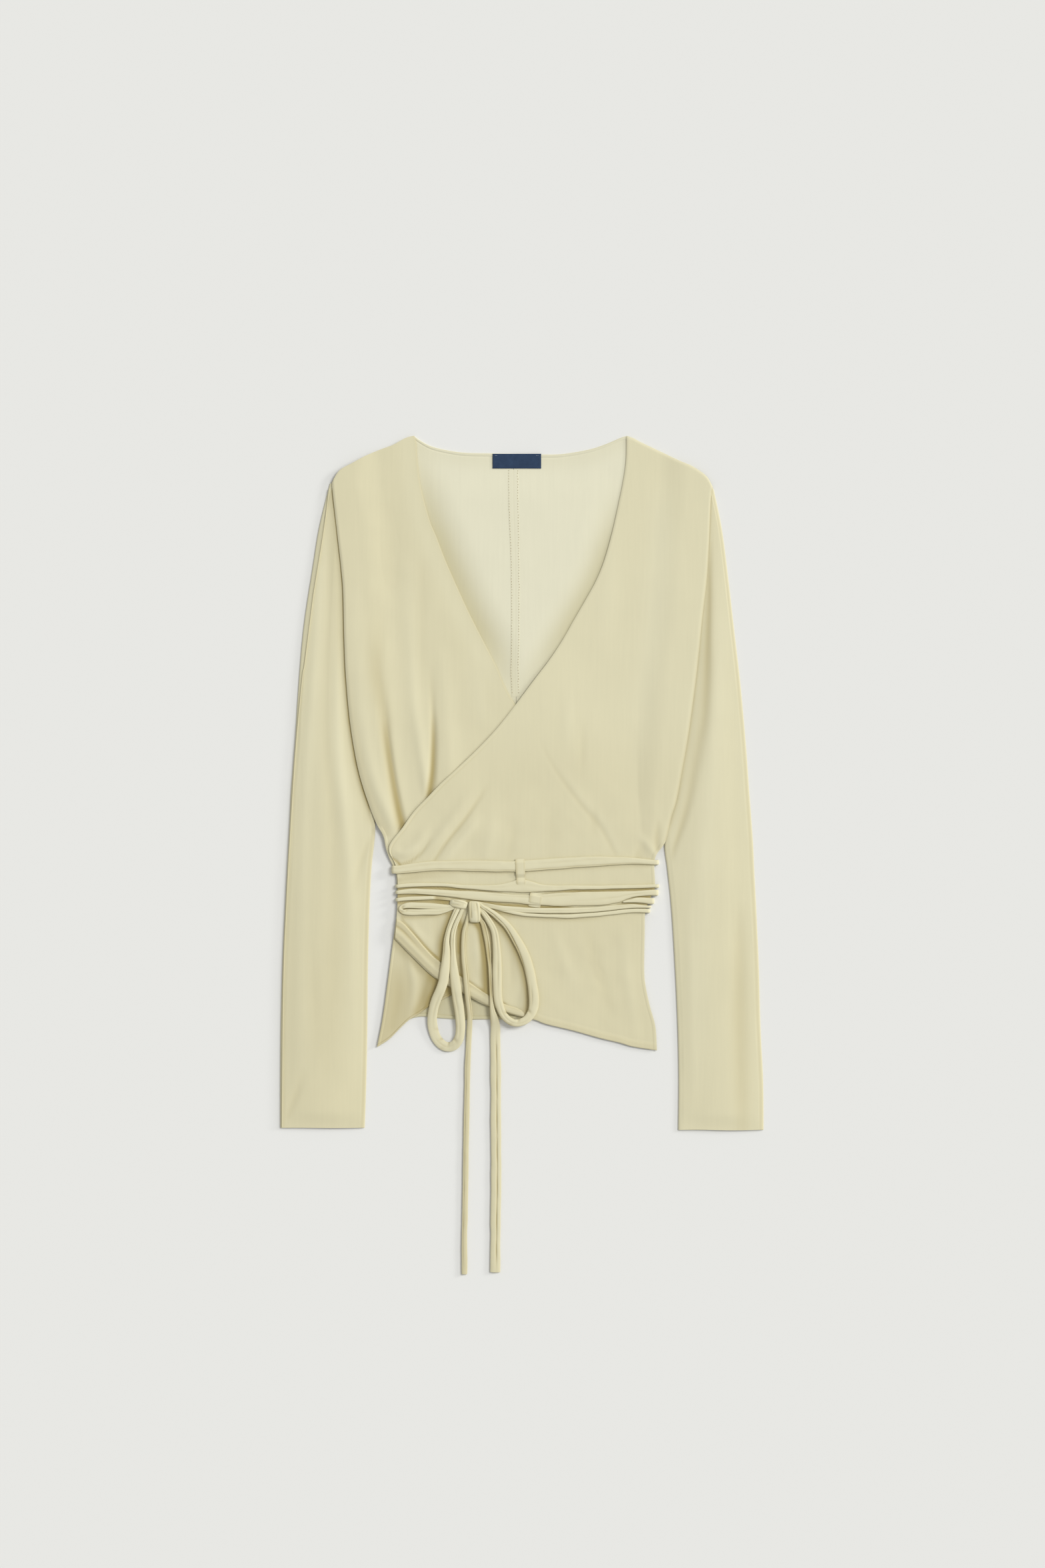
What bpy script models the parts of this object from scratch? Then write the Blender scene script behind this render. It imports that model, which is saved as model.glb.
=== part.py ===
"""A wrap top in fine jersey, laid flat on its back with its waist ties wound round and tied in a bow.

The cloth lies in the XY plane: +X to the viewer's right, +Y towards the neck, +Z up off the surface at z = 0.
Left and right are the viewer's. The origin is under the middle of the top, its tie ends left out.
Sizes in this file are millimetres, and MM turns them into Blender's metres.
"""
import math

import bmesh
import bpy

MM = 0.001

# Cloth and layers
WALL = 1.0              # thickness of each cloth wall
SEAM = 0.3              # gap between pieces that are sewn or lie together
SLEEVE_THICK = 2.8      # a flattened sleeve, both walls and the air between them
SLEEVE_CROWN = 1.4      # how much the sleeve stands up further in its middle
TIE_THICK = 2.0         # the waist ties, a folded strip of jersey
BOW_THICK = 2.6         # the same strip where it is free and rounder
ON_BACK = WALL + SEAM
ON_SLEEVE = SLEEVE_THICK + SEAM
LAYER = WALL + SEAM
FRONTS_TOP = ON_BACK + LAYER + WALL
ON_FRONTS = FRONTS_TOP + SEAM

# Mesh density
PANEL_COLUMNS = 15
PANEL_ROWS = 28
BACK_COLUMNS = 9
BACK_ROWS = 16
SLEEVE_ROWS = 16
SLEEVE_TOP_POINTS = 9
TIE_STEPS = 17
LOOP_STEPS = 46
END_STEPS = 26
KNOT_STEPS = 10

# Colours, as linear RGB
CLOTH_COLOUR = (0.700, 0.664, 0.448)
INSIDE_COLOUR = (0.761, 0.733, 0.571)
LABEL_COLOUR = (0.020, 0.036, 0.076)

# Outlines, each a list of (x, y)

# Shoulder line, from the top of the sleeve to the neck point
SHOULDER_LEFT = [(-178, 282), (-171, 293), (-158, 300.5), (-146, 307), (-133, 312.5), (-121, 317),
                 (-109, 323.5), (-101, 325.5)]
SHOULDER_RIGHT = [(98, 325.5), (104, 323.5), (110.5, 320), (123, 314), (135.5, 308), (148, 302),
                  (160.5, 296.5), (173, 287.5), (179, 277)]

# Outer edge of each front: the fold over the sleeve, the waist, and the side down to the hem's tip
SIDE_LEFT = [(-178, 282), (-177.5, 273), (-173, 233), (-169.7, 204), (-167.6, 179), (-166.6, 136),
             (-165, 100), (-161.2, 58), (-155, 20), (-148.2, -6), (-137.5, -35.5),
             (-130, -49.5), (-127.5, -61),
             (-124.5, -70), (-121.2, -77), (-117.8, -86), (-117, -112), (-118, -127), (-121.5, -153),
             (-124, -172), (-126.5, -191), (-129, -209.5), (-132, -228), (-136, -247.5)]
SIDE_RIGHT = [(179, 277), (177, 265.5), (175, 219), (172.8, 187), (168.9, 153), (164.6, 111),
              (160.5, 78), (155.2, 40.5), (149.8, 10), (144.9, -15.8), (140, -32), (134.5, -54.5),
              (126, -67), (124, -77), (124.5, -98), (120, -108),
              (115.5, -121), (115, -141), (114.5, -175), (116, -191), (120, -209.5), (125, -228),
              (126.5, -250.5)]

# Neck edge of each front, then its wrap end at the far waist
NECK_LEFT = [(-101, 325.5), (-99, 319), (-98, 305), (-95, 279), (-86.7, 247), (-80.2, 231),
             (-70.5, 206), (-51.2, 163), (-35.1, 131.2), (-24.5, 110.5), (-8.5, 77), (25, 35.5),
             (51, -8.5), (76.5, -45), (118, -76), (122.5, -84),
             (119, -106)]
NECK_RIGHT = [(98, 325.5), (97.5, 303), (95, 284), (90, 259.5), (84.4, 234.5), (77, 208.5),
              (69.2, 189.5), (59.6, 172), (48.7, 153.2), (37.6, 133.7), (25, 114.7), (11.2, 96.6),
              (-4.6, 75.5), (-17, 59.5), (-28, 46.5),
              (-45, 29), (-63, 12), (-76, 0), (-88, -12.5), (-101.5, -26.5), (-112, -41.5), (-125, -60),
              (-119, -76), (-116.5, -90), (-116.5, -112), (-119, -146)]

# Hem of each front, from its left end to its right end
HEM_LEFT = [(-136, -247.5), (-124.5, -240), (-114.5, -230), (-106, -222), (-97, -216.5), (-86, -208.5),
            (-76, -204), (-65, -198), (29, -150), (119, -106)]
HEM_RIGHT = [(-119, -146), (-101, -164.5), (-79.5, -184), (-50, -200), (-31, -209.5), (-12, -216),
             (1, -219.5), (12.5, -222), (23, -226), (48, -232), (73, -239), (92, -243.5), (104, -247),
             (126.5, -250.5)]

# Back: neck edge from each neck point to the middle, the hem, and the centre seam's lean
BACK_NECK_LEFT = [(-101, 325.5), (-96, 321.5), (-84.5, 315.5), (-67.5, 311.5), (-51.5, 309.5), (-27.5, 309),
                  (-8, 308.5)]
BACK_NECK_RIGHT = [(-8, 308.5), (18, 308), (38, 308.5), (62, 312.5), (78, 317.5), (92, 323.5), (98, 325.5)]
BACK_HEM_LEFT = [(-131, -239), (-114.5, -226.5), (-97, -219), (-74, -220.5), (-52.5, -221.5), (-4.5, -221)]
BACK_HEM_RIGHT = [(-4.5, -221), (10.5, -221.5), (48, -229), (98, -241), (123, -247)]
CENTRE_SEAM = [(-8, 308.5), (-5.5, 110), (-4.5, -221)]
BACK_SIDE_LEFT_BELOW = [(-128, -52), (-122, -69), (-116, -84), (-115, -112), (-116, -127), (-122, -172),
                        (-131, -239)]
BACK_SIDE_RIGHT_BELOW = [(124.5, -67), (122.5, -77), (122, -98), (118, -108), (113.5, -122), (113, -175),
                         (123, -247)]
BACK_SHOULDER_INSET = 0.5
BACK_CORNER_LEFT_Y = 292.0
BACK_CORNER_RIGHT_Y = 290.0
ARMHOLE_TOP = 270.0     # the back's side follows the sleeve from here
ARMHOLE_BOTTOM = -10.0  # down to here
ARMHOLE_GAP = 1.1       # the back's cut edge to the round edge of the sleeve, under the front

# Sleeves laid flat: station down the arm, outer edge, inner edge and where the front's fold covers it
SLEEVE_LEFT = [
    # y, outer, inner, fold
    (281, -180, -169.5, -176.5),
    (240, -190, -159.5, -174),
    (203, -196, -156.5, -170),
    (147, -204.5, -154, -167.5),
    (90, -209.5, -152, -166.5),
    (34, -213, -146.5, -159.5),
    (-8, -216.5, -141.5, -150),
    (-41, -218, -137.5, -137.5),
    (-78, -220, -141, -141),
    (-116, -222, -143, -143),
    (-172, -224.5, -144.5, -144.5),
    (-228, -226, -145, -145),
    (-278, -226.5, -146, -146),
    (-323, -226.5, -147.5, -147.5),
]
SLEEVE_RIGHT = [
    # y, outer, inner, fold
    (276, 179.5, 167, 176.5),
    (240, 187, 162.5, 176),
    (203, 192, 160.5, 174.5),
    (147, 198.5, 156, 169.5),
    (90, 205, 148.5, 162.5),
    (34, 210, 143, 155.5),
    (-8, 213, 137, 147),
    (-55, 216.5, 133.5, 133.5),
    (-78, 217.5, 136, 136),
    (-116, 219.5, 140, 140),
    (-172, 222, 143.5, 143.5),
    (-228, 223.5, 146, 146),
    (-278, 226, 147, 147),
    (-325, 226.5, 146.5, 146.5),
]
LIFT_NEAR = 11.0        # a front stays up on the sleeve this far past the sleeve's inner edge
LIFT_FAR = 38.0         # and is down on the back from here on
CROTCH_LEFT = -41.0
CROTCH_RIGHT = -55.0
COVER_NEAR = 20.0       # the over front stays up this far past the under front's edge
COVER_FAR = 42.0
FLAP_TOP = -76.0        # below this the under front's end lies under the whole width of the over front

# Soft folds that stand up from a panel: from, to, height, half width
FOLDS_LEFT = [
    # x0, y0, x1, y1, height, width
    (-132, 96, -116, 2, 1.1, 7),
    (-148, 74, -129, -4, 0.9, 7),
    (-92, 150, -90, 16, 0.8, 8),
    (-72, 128, -74, 22, 0.8, 8),
    (-136, 250, -128, 130, 0.6, 12),
]
FOLDS_RIGHT = [
    # x0, y0, x1, y1, height, width
    (-30, 26, -84, -56, 0.9, 7),
    (-60, -18, -100, -60, 0.7, 6),
    (120, 250, 124, 90, 0.6, 12),
    (88, 120, 80, 20, 0.6, 12),
]
FOLD_ENDS = 0.3         # share of a fold's length in which it dies away
SLEEVE_FOLDS = [
    # share of the width, from y, to y, depth, half width as a share
    (0.34, 60, -190, 0.5, 0.12),
    (0.68, -60, -290, 0.4, 0.12),
]
SLEEVE_FOLD_FADE = 60.0 # length in which such a fold dies away
FULL_CROWN_WIDTH = 60.0 # a sleeve that shows less than this stands up less

# Strands of the tie across the waist: x, middle y and width, from the left side to the right side
TIE_UPPER = [(-117, -81, 7.4), (-82, -77.5, 9), (-44, -77.5, 10), (-6.5, -78, 10), (27, -75.7, 10.2),
             (63, -73.6, 9.4), (99, -72.6, 6.4), (124.5, -74.2, 4.4)]
TIE_MIDDLE = [(-117, -96.5, 3.2), (-104, -95.4, 3.6), (-82, -95.1, 3.2), (-63, -96.2, 3.4), (-44, -97.6, 4),
              (-24.5, -98.2, 6), (-11, -97.2, 9.4), (-1.5, -96.4, 12), (8, -97.2, 10), (19, -98.3, 6.6),
              (37.5, -98, 4.6), (58, -97.6, 3.8), (84, -97.4, 3.4), (124.5, -96.4, 3.2)]
TIE_LOWER = [(-117, -102.2, 3.4), (-104, -101.2, 4.6), (-92, -101.6, 5), (-63, -103.7, 6.6), (-44, -105.3, 8),
             (-24.5, -107.4, 9), (-2, -109.4, 9), (18.5, -109.5, 10.6), (37.5, -108.6, 12.4),
             (68.5, -108, 12.6), (87, -106.9, 10.8), (96, -105.2, 8), (104, -103.9, 5.8), (112, -103.1, 5.2),
             (122.5, -102.6, 5.4)]
TIE_SPLIT = [(95, -111.2, 1.6), (101, -110.4, 2.8), (107, -109.5, 4.4), (113, -109.6, 5), (119, -110.4, 5.4)]
STRAND_RIGHT_UPPER = [(-20, -117, 3.4), (-2, -118.5, 5.2), (27, -119.4, 5), (58, -118.9, 4.8),
                      (89, -116.4, 4.2), (104, -115.2, 3.6), (117.5, -115.8, 2.2)]
STRAND_RIGHT_LOWER = [(-4, -122.8, 1.8), (6, -123.6, 2.2), (27, -124.4, 3), (47, -124.5, 3.6),
                      (79, -122, 3.6), (102, -119.6, 3.6), (115.5, -119.6, 3.8)]
STRAND_LEFT = [(-117, -109.2, 3.4), (-101.5, -107.9, 3.4), (-82, -107.6, 3.1), (-69.5, -108.4, 2.8)]
TURN_LEFT = [(-68.5, -115.2, 2.4), (-82, -115.2, 4.6), (-101.5, -114.8, 5), (-110, -115.2, 4.8),
             (-114.3, -118.2, 4.2), (-110, -121.6, 5), (-101.5, -121.8, 5.4), (-82, -121, 5),
             (-68.5, -118.6, 2.4)]

# Bow and tie ends: x, y, height of the underside and width
BOW_LOOP_LEFT = [(-62, -120.4, 3.9, 5), (-66.6, -131, 4.0, 4.4), (-69.5, -140, 4.2, 4.6),
                 (-70.8, -149, 4.6, 5.2), (-70.8, -158, 5.0, 6.4), (-71.6, -167, 5.2, 6.8),
                 (-72.8, -176, 5.3, 7.6), (-74.3, -185, 5.3, 8.2), (-77.3, -193.5, 4.9, 8.2),
                 (-80.6, -202.4, 3.6, 8.2), (-83.1, -211.3, 2.6, 8.6), (-84.2, -220.3, 1.8, 9),
                 (-83.4, -229.2, 0.9, 9.2), (-80.6, -238.1, 0.3, 9.2), (-75.2, -244.8, 0.3, 9),
                 (-69.2, -247.2, 0.3, 8.8), (-63, -245.2, 0.3, 9), (-58.8, -238.6, 0.4, 9.2),
                 (-57.4, -229.2, 1.0, 9.2), (-57.8, -220.3, 1.9, 9.4), (-58.8, -211.3, 2.9, 9.4),
                 (-60.2, -202.4, 4.3, 9.4), (-61.5, -193.5, 5.2, 9.4), (-62.7, -184.5, 5.3, 9.2),
                 (-63.7, -175.6, 5.2, 8.2), (-64.3, -166.7, 4.9, 6.4), (-64.6, -157.8, 4.5, 4.9),
                 (-64.9, -148.8, 4.2, 4.9), (-64.3, -140, 4.0, 4.7), (-61.5, -131, 3.9, 4.2),
                 (-57.4, -122, 3.9, 3.8)]
BOW_LOOP_RIGHT = [(-32, -127, 3.9, 5.4), (-26, -139, 4.0, 6.4), (-23.7, -156, 4.2, 7.8),
                  (-23.2, -173, 4.5, 8.8), (-23.2, -189.5, 5.0, 9), (-22, -205, 5.1, 9),
                  (-17, -217.5, 5.0, 9), (-7.5, -223.3, 4.8, 9.2), (3, -220.8, 4.6, 9.2),
                  (9.9, -212, 4.2, 9.2), (11, -199, 4.0, 9.2), (8, -180, 3.9, 9.2), (3, -163.3, 3.9, 9),
                  (-4, -148.5, 3.9, 8.4), (-13.3, -134.5, 3.9, 7.2), (-24, -124, 3.9, 5.8),
                  (-32, -118.4, 3.9, 4.6), (-36, -116.2, 3.9, 3.8)]
TIE_END_LEFT = [(-52.2, -131.6, 3.9, 3.4), (-54.2, -141, 3.9, 4.6), (-54.8, -161, 4.4, 5),
                (-52.8, -180, 5.2, 5.4), (-51, -199, 5.3, 5.6), (-49.3, -214, 3.1, 5.6),
                (-49, -225, 1.4, 5.6), (-49.8, -240, 0.3, 5.6), (-51, -266, 0.3, 5.8), (-51.6, -301, 0.3, 6),
                (-52.4, -338, 0.3, 6), (-53, -374, 0.3, 6), (-53.8, -420, 0.3, 6), (-54, -460, 0.3, 6)]
TIE_END_RIGHT = [(-36, -132.6, 3.9, 4.4), (-33.6, -143.5, 3.9, 4.8), (-31.5, -157, 4.0, 4.4),
                 (-30.1, -170.5, 4.4, 3.4), (-29.6, -184, 4.9, 2.8), (-29.2, -197, 5.2, 2.8),
                 (-28.8, -206, 5.3, 3.4), (-27.8, -213, 4.8, 5), (-26.1, -221, 3.0, 7.6),
                 (-25, -229, 1.3, 8.8), (-24.8, -242, 0.3, 9.2), (-24.6, -266, 0.3, 9.4),
                 (-24.5, -301, 0.3, 9.4), (-24.2, -374, 0.3, 9.4), (-24.8, -420, 0.3, 9.2),
                 (-25, -458, 0.3, 9)]

# Knot: position along its own middle line, then underside height, width and thickness
KNOT_WRAP = [(-67, -111.6, 3.9, 4.6, 1.6), (-65, -112, 3.9, 7.2, 3.4), (-60, -113, 3.9, 8.8, 4.6),
             (-55, -114, 3.9, 8.6, 4.4), (-52, -114.8, 3.9, 6.6, 3.2)]
KNOT_BAND = [(-45, -110.9, 3.9, 8.6, 1.8), (-45, -112.6, 3.9, 11, 4.2), (-44.6, -118, 3.9, 12, 5.4),
             (-44.4, -124, 3.9, 12, 5.2), (-44.3, -128.6, 3.9, 10.6, 4), (-44.3, -130, 3.9, 8, 1.8)]

# Rolled edge along the over front's lower diagonal: x, y and width
EDGE_BAND = [(-114.5, -137.5, 11.6), (-108, -144.5, 14.4), (-96, -157.4, 15.4), (-81, -173.3, 15),
             (-54.5, -190, 13), (-33, -202, 10.4), (-14, -210.8, 7), (-3, -215, 5)]
EDGE_BAND_THICK = 1.0

# Belt loops over the ties: middle x, top y, bottom y, width
BELT_LOOP_UPPER = (-1.5, -71.2, -89.2, 8.6)
BELT_LOOP_LOWER = (12.5, -103.0, -115.6, 11.4)
BELT_LOOP_WALL = 0.8
BELT_LOOP_RISE = 0.5    # length in which it leaves the front
BELT_LOOP_SHOULDER = 2.2
BELT_LOOP_STEPS = 12

# Neck label
LABEL_X = (-27.5, 18.0)
LABEL_Y = (308.0, 295.5)
LABEL_THICK = 0.7

# Where a strand turns down over the garment's side
TURN_RADIUS = 2.0
TURN_OUT = 1.5          # from the side to the middle of the strand's thickness
TURN_STEPS = 4
LEAST_PLAN_STEP = 0.2   # a shorter step in plan gives a strand no direction
STRAND_SECTION = [
    # share of the half width, share of the thickness
    (-1, -0.25), (-0.8, -0.5), (0.8, -0.5), (1, -0.25), (1, 0.2), (0.7, 0.5), (-0.7, 0.5), (-1, 0.2),
]


def smooth_step(value, low, high):
    """0 at low, 1 at high, with an eased slope between."""
    share = min(1.0, max(0.0, (value - low) / (high - low)))
    return share * share * (3.0 - 2.0 * share)


def between(first, second, share):
    return tuple(a + (b - a) * share for a, b in zip(first, second))


def curve_through(points, steps=10):
    """A smooth curve through the points, as a function of the share of its length."""
    samples = []
    last = len(points) - 1
    for index in range(last):
        before = points[max(index - 1, 0)]
        start = points[index]
        end = points[index + 1]
        after = points[min(index + 2, last)]
        for step in range(steps):
            t = step / steps
            samples.append(tuple(
                0.5 * (2 * p1 + (p2 - p0) * t + (2 * p0 - 5 * p1 + 4 * p2 - p3) * t * t
                       + (3 * p1 - p0 - 3 * p2 + p3) * t ** 3)
                for p0, p1, p2, p3 in zip(before, start, end, after)))
    samples.append(tuple(float(value) for value in points[last]))
    lengths = [0.0]
    for first, second in zip(samples, samples[1:]):
        lengths.append(lengths[-1] + math.dist(first[:3], second[:3]))

    def at(share):
        wanted = share * lengths[-1]
        for index in range(1, len(samples)):
            if lengths[index] >= wanted:
                gap = lengths[index] - lengths[index - 1]
                part = (wanted - lengths[index - 1]) / gap if gap else 0.0
                return between(samples[index - 1], samples[index], part)
        return samples[-1]

    return at


def joined(first, second):
    """Two edges end to end, each taking half of the way, so the corner between them stays sharp."""
    return lambda share: first(share * 2) if share <= 0.5 else second(share * 2 - 1)


def smooth_table(table, rows=80):
    """The same table with more rows, on smooth curves through its own."""
    curve = curve_through(table)
    return [curve(row / rows) for row in range(rows + 1)]


def read_table(table, key, column):
    """A column of a table, read at a value of its first column, which falls from row to row."""
    if key >= table[0][0]:
        return table[0][column]
    for above, below in zip(table, table[1:]):
        if key >= below[0]:
            share = (above[0] - key) / (above[0] - below[0])
            return above[column] + (below[column] - above[column]) * share
    return table[-1][column]


def fold_height(x, y, folds):
    """Height that the soft folds add at a point."""
    total = 0.0
    for x0, y0, x1, y1, height, width in folds:
        length = math.dist((x0, y0), (x1, y1))
        along = ((x - x0) * (x1 - x0) + (y - y0) * (y1 - y0)) / length
        across = ((x - x0) * (y1 - y0) - (y - y0) * (x1 - x0)) / length
        fade = length * FOLD_ENDS
        ends = smooth_step(along, 0, fade) * smooth_step(length - along, 0, fade)
        total += height * ends * math.exp(-(across / width) ** 2)
    return total


def sleeve_lift(x, y, sleeve, crotch, side):
    """1 where a front lies on the tucked edge of the sleeve, 0 where it is down on the back."""
    inward = (read_table(sleeve, y, 2) - x) * side
    across = 1.0 - smooth_step(inward, LIFT_NEAR, LIFT_FAR)
    return across * smooth_step(y, crotch - LIFT_FAR, crotch - LIFT_NEAR)


def under_front_height(x, y):
    """Underside of the left front, which lies on the back and on the left sleeve."""
    lift = sleeve_lift(x, y, SLEEVE_LEFT, CROTCH_LEFT, -1)
    return ON_BACK + (ON_SLEEVE - ON_BACK) * lift + fold_height(x, y, FOLDS_LEFT)


def over_front_height(x, y):
    """Underside of the right front, which lies on the left front, the back and the right sleeve."""
    neck = [(edge_y, edge_x) for edge_x, edge_y in NECK_LEFT]
    hem = [(-edge_x, edge_y) for edge_x, edge_y in HEM_LEFT]
    inside_neck = 1.0 - smooth_step(x - read_table(neck, y, 1), COVER_NEAR, COVER_FAR)
    if y < FLAP_TOP:
        inside_neck = 1.0
    inside_hem = smooth_step(y - read_table(hem, -x, 1), -COVER_FAR, -COVER_NEAR)
    cover = inside_neck * inside_hem
    lift = sleeve_lift(x, y, SLEEVE_RIGHT, CROTCH_RIGHT, 1)
    on_left_front = ON_BACK + cover * (under_front_height(x, y) + LAYER - ON_BACK)
    on_sleeve = ON_BACK + (ON_SLEEVE - ON_BACK) * lift
    return max(on_left_front, on_sleeve) + fold_height(x, y, FOLDS_RIGHT)


def back_height(x, y):
    return 0.0


def material(name, colour, roughness):
    """A plain cloth material."""
    made = bpy.data.materials.new(name)
    made.use_nodes = True
    shader = made.node_tree.nodes["Principled BSDF"]
    shader.inputs["Base Color"].default_value = (*colour, 1.0)
    shader.inputs["Roughness"].default_value = roughness
    shader.inputs["Metallic"].default_value = 0.0
    return made


def add_object(name, mesh_source, collection, surface):
    """The object for a finished bmesh, in millimetres until here."""
    bmesh.ops.scale(mesh_source, vec=(MM, MM, MM), verts=mesh_source.verts)
    mesh = bpy.data.meshes.new(name)
    mesh_source.to_mesh(mesh)
    mesh_source.free()
    mesh.materials.append(surface)
    mesh.shade_smooth()
    made = bpy.data.objects.new(name, mesh)
    collection.objects.link(made)
    return made


def thicken(made, offset):
    """Turns an open cloth surface into a wall."""
    wall = made.modifiers.new("Wall", "SOLIDIFY")
    wall.thickness = WALL * MM
    wall.offset = offset
    wall.use_rim = True


def panel(name, edges, height, columns, rows, collection, surface):
    """A cloth panel stretched between its top, bottom, left and right edges and laid at its height."""
    top, bottom, left, right = edges
    grid = bmesh.new()
    bmesh.ops.create_grid(grid, x_segments=columns, y_segments=rows, size=0.5)
    for vertex in grid.verts:
        u = vertex.co.x + 0.5
        v = 0.5 - vertex.co.y
        place = []
        for axis in range(2):
            ruled_down = (1 - v) * top(u)[axis] + v * bottom(u)[axis]
            ruled_across = (1 - u) * left(v)[axis] + u * right(v)[axis]
            upper = (1 - u) * top(0)[axis] + u * top(1)[axis]
            lower = (1 - u) * bottom(0)[axis] + u * bottom(1)[axis]
            place.append(ruled_down + ruled_across - (1 - v) * upper - v * lower)
        vertex.co = (place[0], place[1], height(place[0], place[1]))
    made = add_object(name, grid, collection, surface)
    thicken(made, 1)
    return made


def loft(rings, capped):
    """A bmesh skin over closed rings of points."""
    skin = bmesh.new()
    rows = [[skin.verts.new(point) for point in ring] for ring in rings]
    count = len(rows[0])
    for first, second in zip(rows, rows[1:]):
        for index in range(count):
            following = (index + 1) % count
            skin.faces.new((first[index], first[following], second[following], second[index]))
    if capped:
        skin.faces.new(rows[0])
        skin.faces.new(rows[-1])
        bmesh.ops.recalc_face_normals(skin, faces=skin.faces)
    return skin


def sleeve_ring(y, row):
    """One section of a flattened sleeve: flat below, rounded at its edges, a little crowned on top."""
    _, outer, inner, fold = row
    radius = SLEEVE_THICK / 2
    low, high = sorted((outer, inner))
    ring = []
    for degrees in (270, 225, 180, 135, 90):
        angle = math.radians(degrees)
        ring.append((low + radius + radius * math.cos(angle), y, radius + radius * math.sin(angle)))
    for step in range(1, SLEEVE_TOP_POINTS + 1):
        share = step / (SLEEVE_TOP_POINTS + 1)
        x = low + radius + (high - low - 2 * radius) * share
        seen = (x - outer) / (fold - outer)
        z = SLEEVE_THICK
        if 0.0 < seen < 1.0:
            spread = min(1.0, abs(fold - outer) / FULL_CROWN_WIDTH)
            z += SLEEVE_CROWN * spread * 4 * seen * (1 - seen)
            for centre, y_from, y_to, depth, width in SLEEVE_FOLDS:
                ends = smooth_step(y, y_to, y_to + SLEEVE_FOLD_FADE)
                ends *= 1.0 - smooth_step(y, y_from - SLEEVE_FOLD_FADE, y_from)
                z -= depth * ends * math.exp(-((seen - centre) / width) ** 2)
        ring.append((x, y, z))
    for degrees in (90, 45, 0, -45, -90):
        angle = math.radians(degrees)
        ring.append((high - radius + radius * math.cos(angle), y, radius + radius * math.sin(angle)))
    for share in (2 / 3, 1 / 3):
        ring.append((low + radius + (high - low - 2 * radius) * share, y, 0.0))
    return ring


def sleeve(name, table, collection, surface):
    """A sleeve laid flat, an open tube from the armhole to the cuff."""
    table = smooth_table(table)
    first = table[0][0]
    last = table[-1][0]
    rings = []
    for step in range(SLEEVE_ROWS + 1):
        y = first + (last - first) * step / SLEEVE_ROWS
        row = [read_table(table, y, column) for column in range(4)]
        rings.append(sleeve_ring(y, row)[::-1])
    made = add_object(name, loft(rings, False), collection, surface)
    thicken(made, -1)
    return made


def headings(stations):
    """The direction of a route in plan at each station, or a neighbour's where it runs straight down."""
    last = len(stations) - 1
    found = []
    for index in range(last + 1):
        before = stations[max(index - 1, 0)]
        after = stations[min(index + 1, last)]
        flat = math.dist(before[:2], after[:2])
        runs = flat > LEAST_PLAN_STEP
        found.append(((after[0] - before[0]) / flat, (after[1] - before[1]) / flat) if runs else None)
    known = [index for index, heading in enumerate(found) if heading]
    return [found[min(known, key=lambda other: abs(other - index))] for index in range(last + 1)]


def strand_along(name, stations, collection, surface):
    """A folded strip of cloth through stations of (x, y, z, width, thickness), with rounded edges."""
    last = len(stations) - 1
    rings = []
    for index, heading in enumerate(headings(stations)):
        x, y, z, width, thick = stations[index]
        before = stations[max(index - 1, 0)]
        after = stations[min(index + 1, last)]
        slope = math.atan2(after[2] - before[2], math.dist(before[:2], after[:2]))
        across = (-heading[1], heading[0])
        up = (-heading[0] * math.sin(slope), -heading[1] * math.sin(slope), math.cos(slope))
        ring = []
        for side, level in STRAND_SECTION:
            reach = side * width / 2
            lift = level * thick
            ring.append((x + across[0] * reach + up[0] * lift, y + across[1] * reach + up[1] * lift,
                         z + up[2] * lift))
        rings.append(ring)
    return add_object(name, loft(rings, True), collection, surface)


def strand(name, rows, steps, collection, surface):
    """A strand along a smooth curve through its rows."""
    route = curve_through(rows)
    return strand_along(name, [route(step / steps) for step in range(steps + 1)], collection, surface)


def side_reach(side, y, width, outward):
    """The outermost x of a front's side within the width of a strand, from the panel's own edge points."""
    edge = curve_through(side)
    points = [edge(row / PANEL_ROWS) for row in range(PANEL_ROWS + 1)]
    table = [(edge_y, edge_x) for edge_x, edge_y in points]
    reaches = [read_table(table, y + width * share, 1) for share in (-0.5, 0, 0.5)]
    return max(reaches) if outward > 0 else min(reaches)


def turn_over(side, row, middle, outward):
    """Stations of a strand that turns down over the side, from the surface up to the front."""
    _, y, width = row
    centre_x = side_reach(side, y, width, outward) + outward * (TURN_OUT - TURN_RADIUS)
    foot = (centre_x + outward * TURN_RADIUS, y, 0.0, width, TIE_THICK)
    stations = [foot]
    for step in range(TURN_STEPS + 1):
        angle = math.radians(90 * step / TURN_STEPS)
        stations.append((centre_x + outward * TURN_RADIUS * math.cos(angle), y,
                         middle - TURN_RADIUS + TURN_RADIUS * math.sin(angle), width, TIE_THICK))
    return stations


def waist_strand(name, rows, left_turn, right_turn, collection, surface):
    """A strand of the tie across the fronts, turned down over the side where it goes round the back."""
    middle = ON_FRONTS + TIE_THICK / 2
    route = curve_through([(x, y, middle, width, TIE_THICK) for x, y, width in rows])
    stations = [route(step / TIE_STEPS) for step in range(TIE_STEPS + 1)]
    if left_turn:
        turn = turn_over(SIDE_LEFT, rows[0], middle, -1)
        stations = turn + [station for station in stations if station[0] > turn[-1][0] + TURN_RADIUS / 2]
    if right_turn:
        turn = turn_over(SIDE_RIGHT, rows[-1], middle, 1)
        stations = [station for station in stations if station[0] < turn[-1][0] - TURN_RADIUS / 2]
        stations += turn[::-1]
    return strand_along(name, stations, collection, surface)


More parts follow.
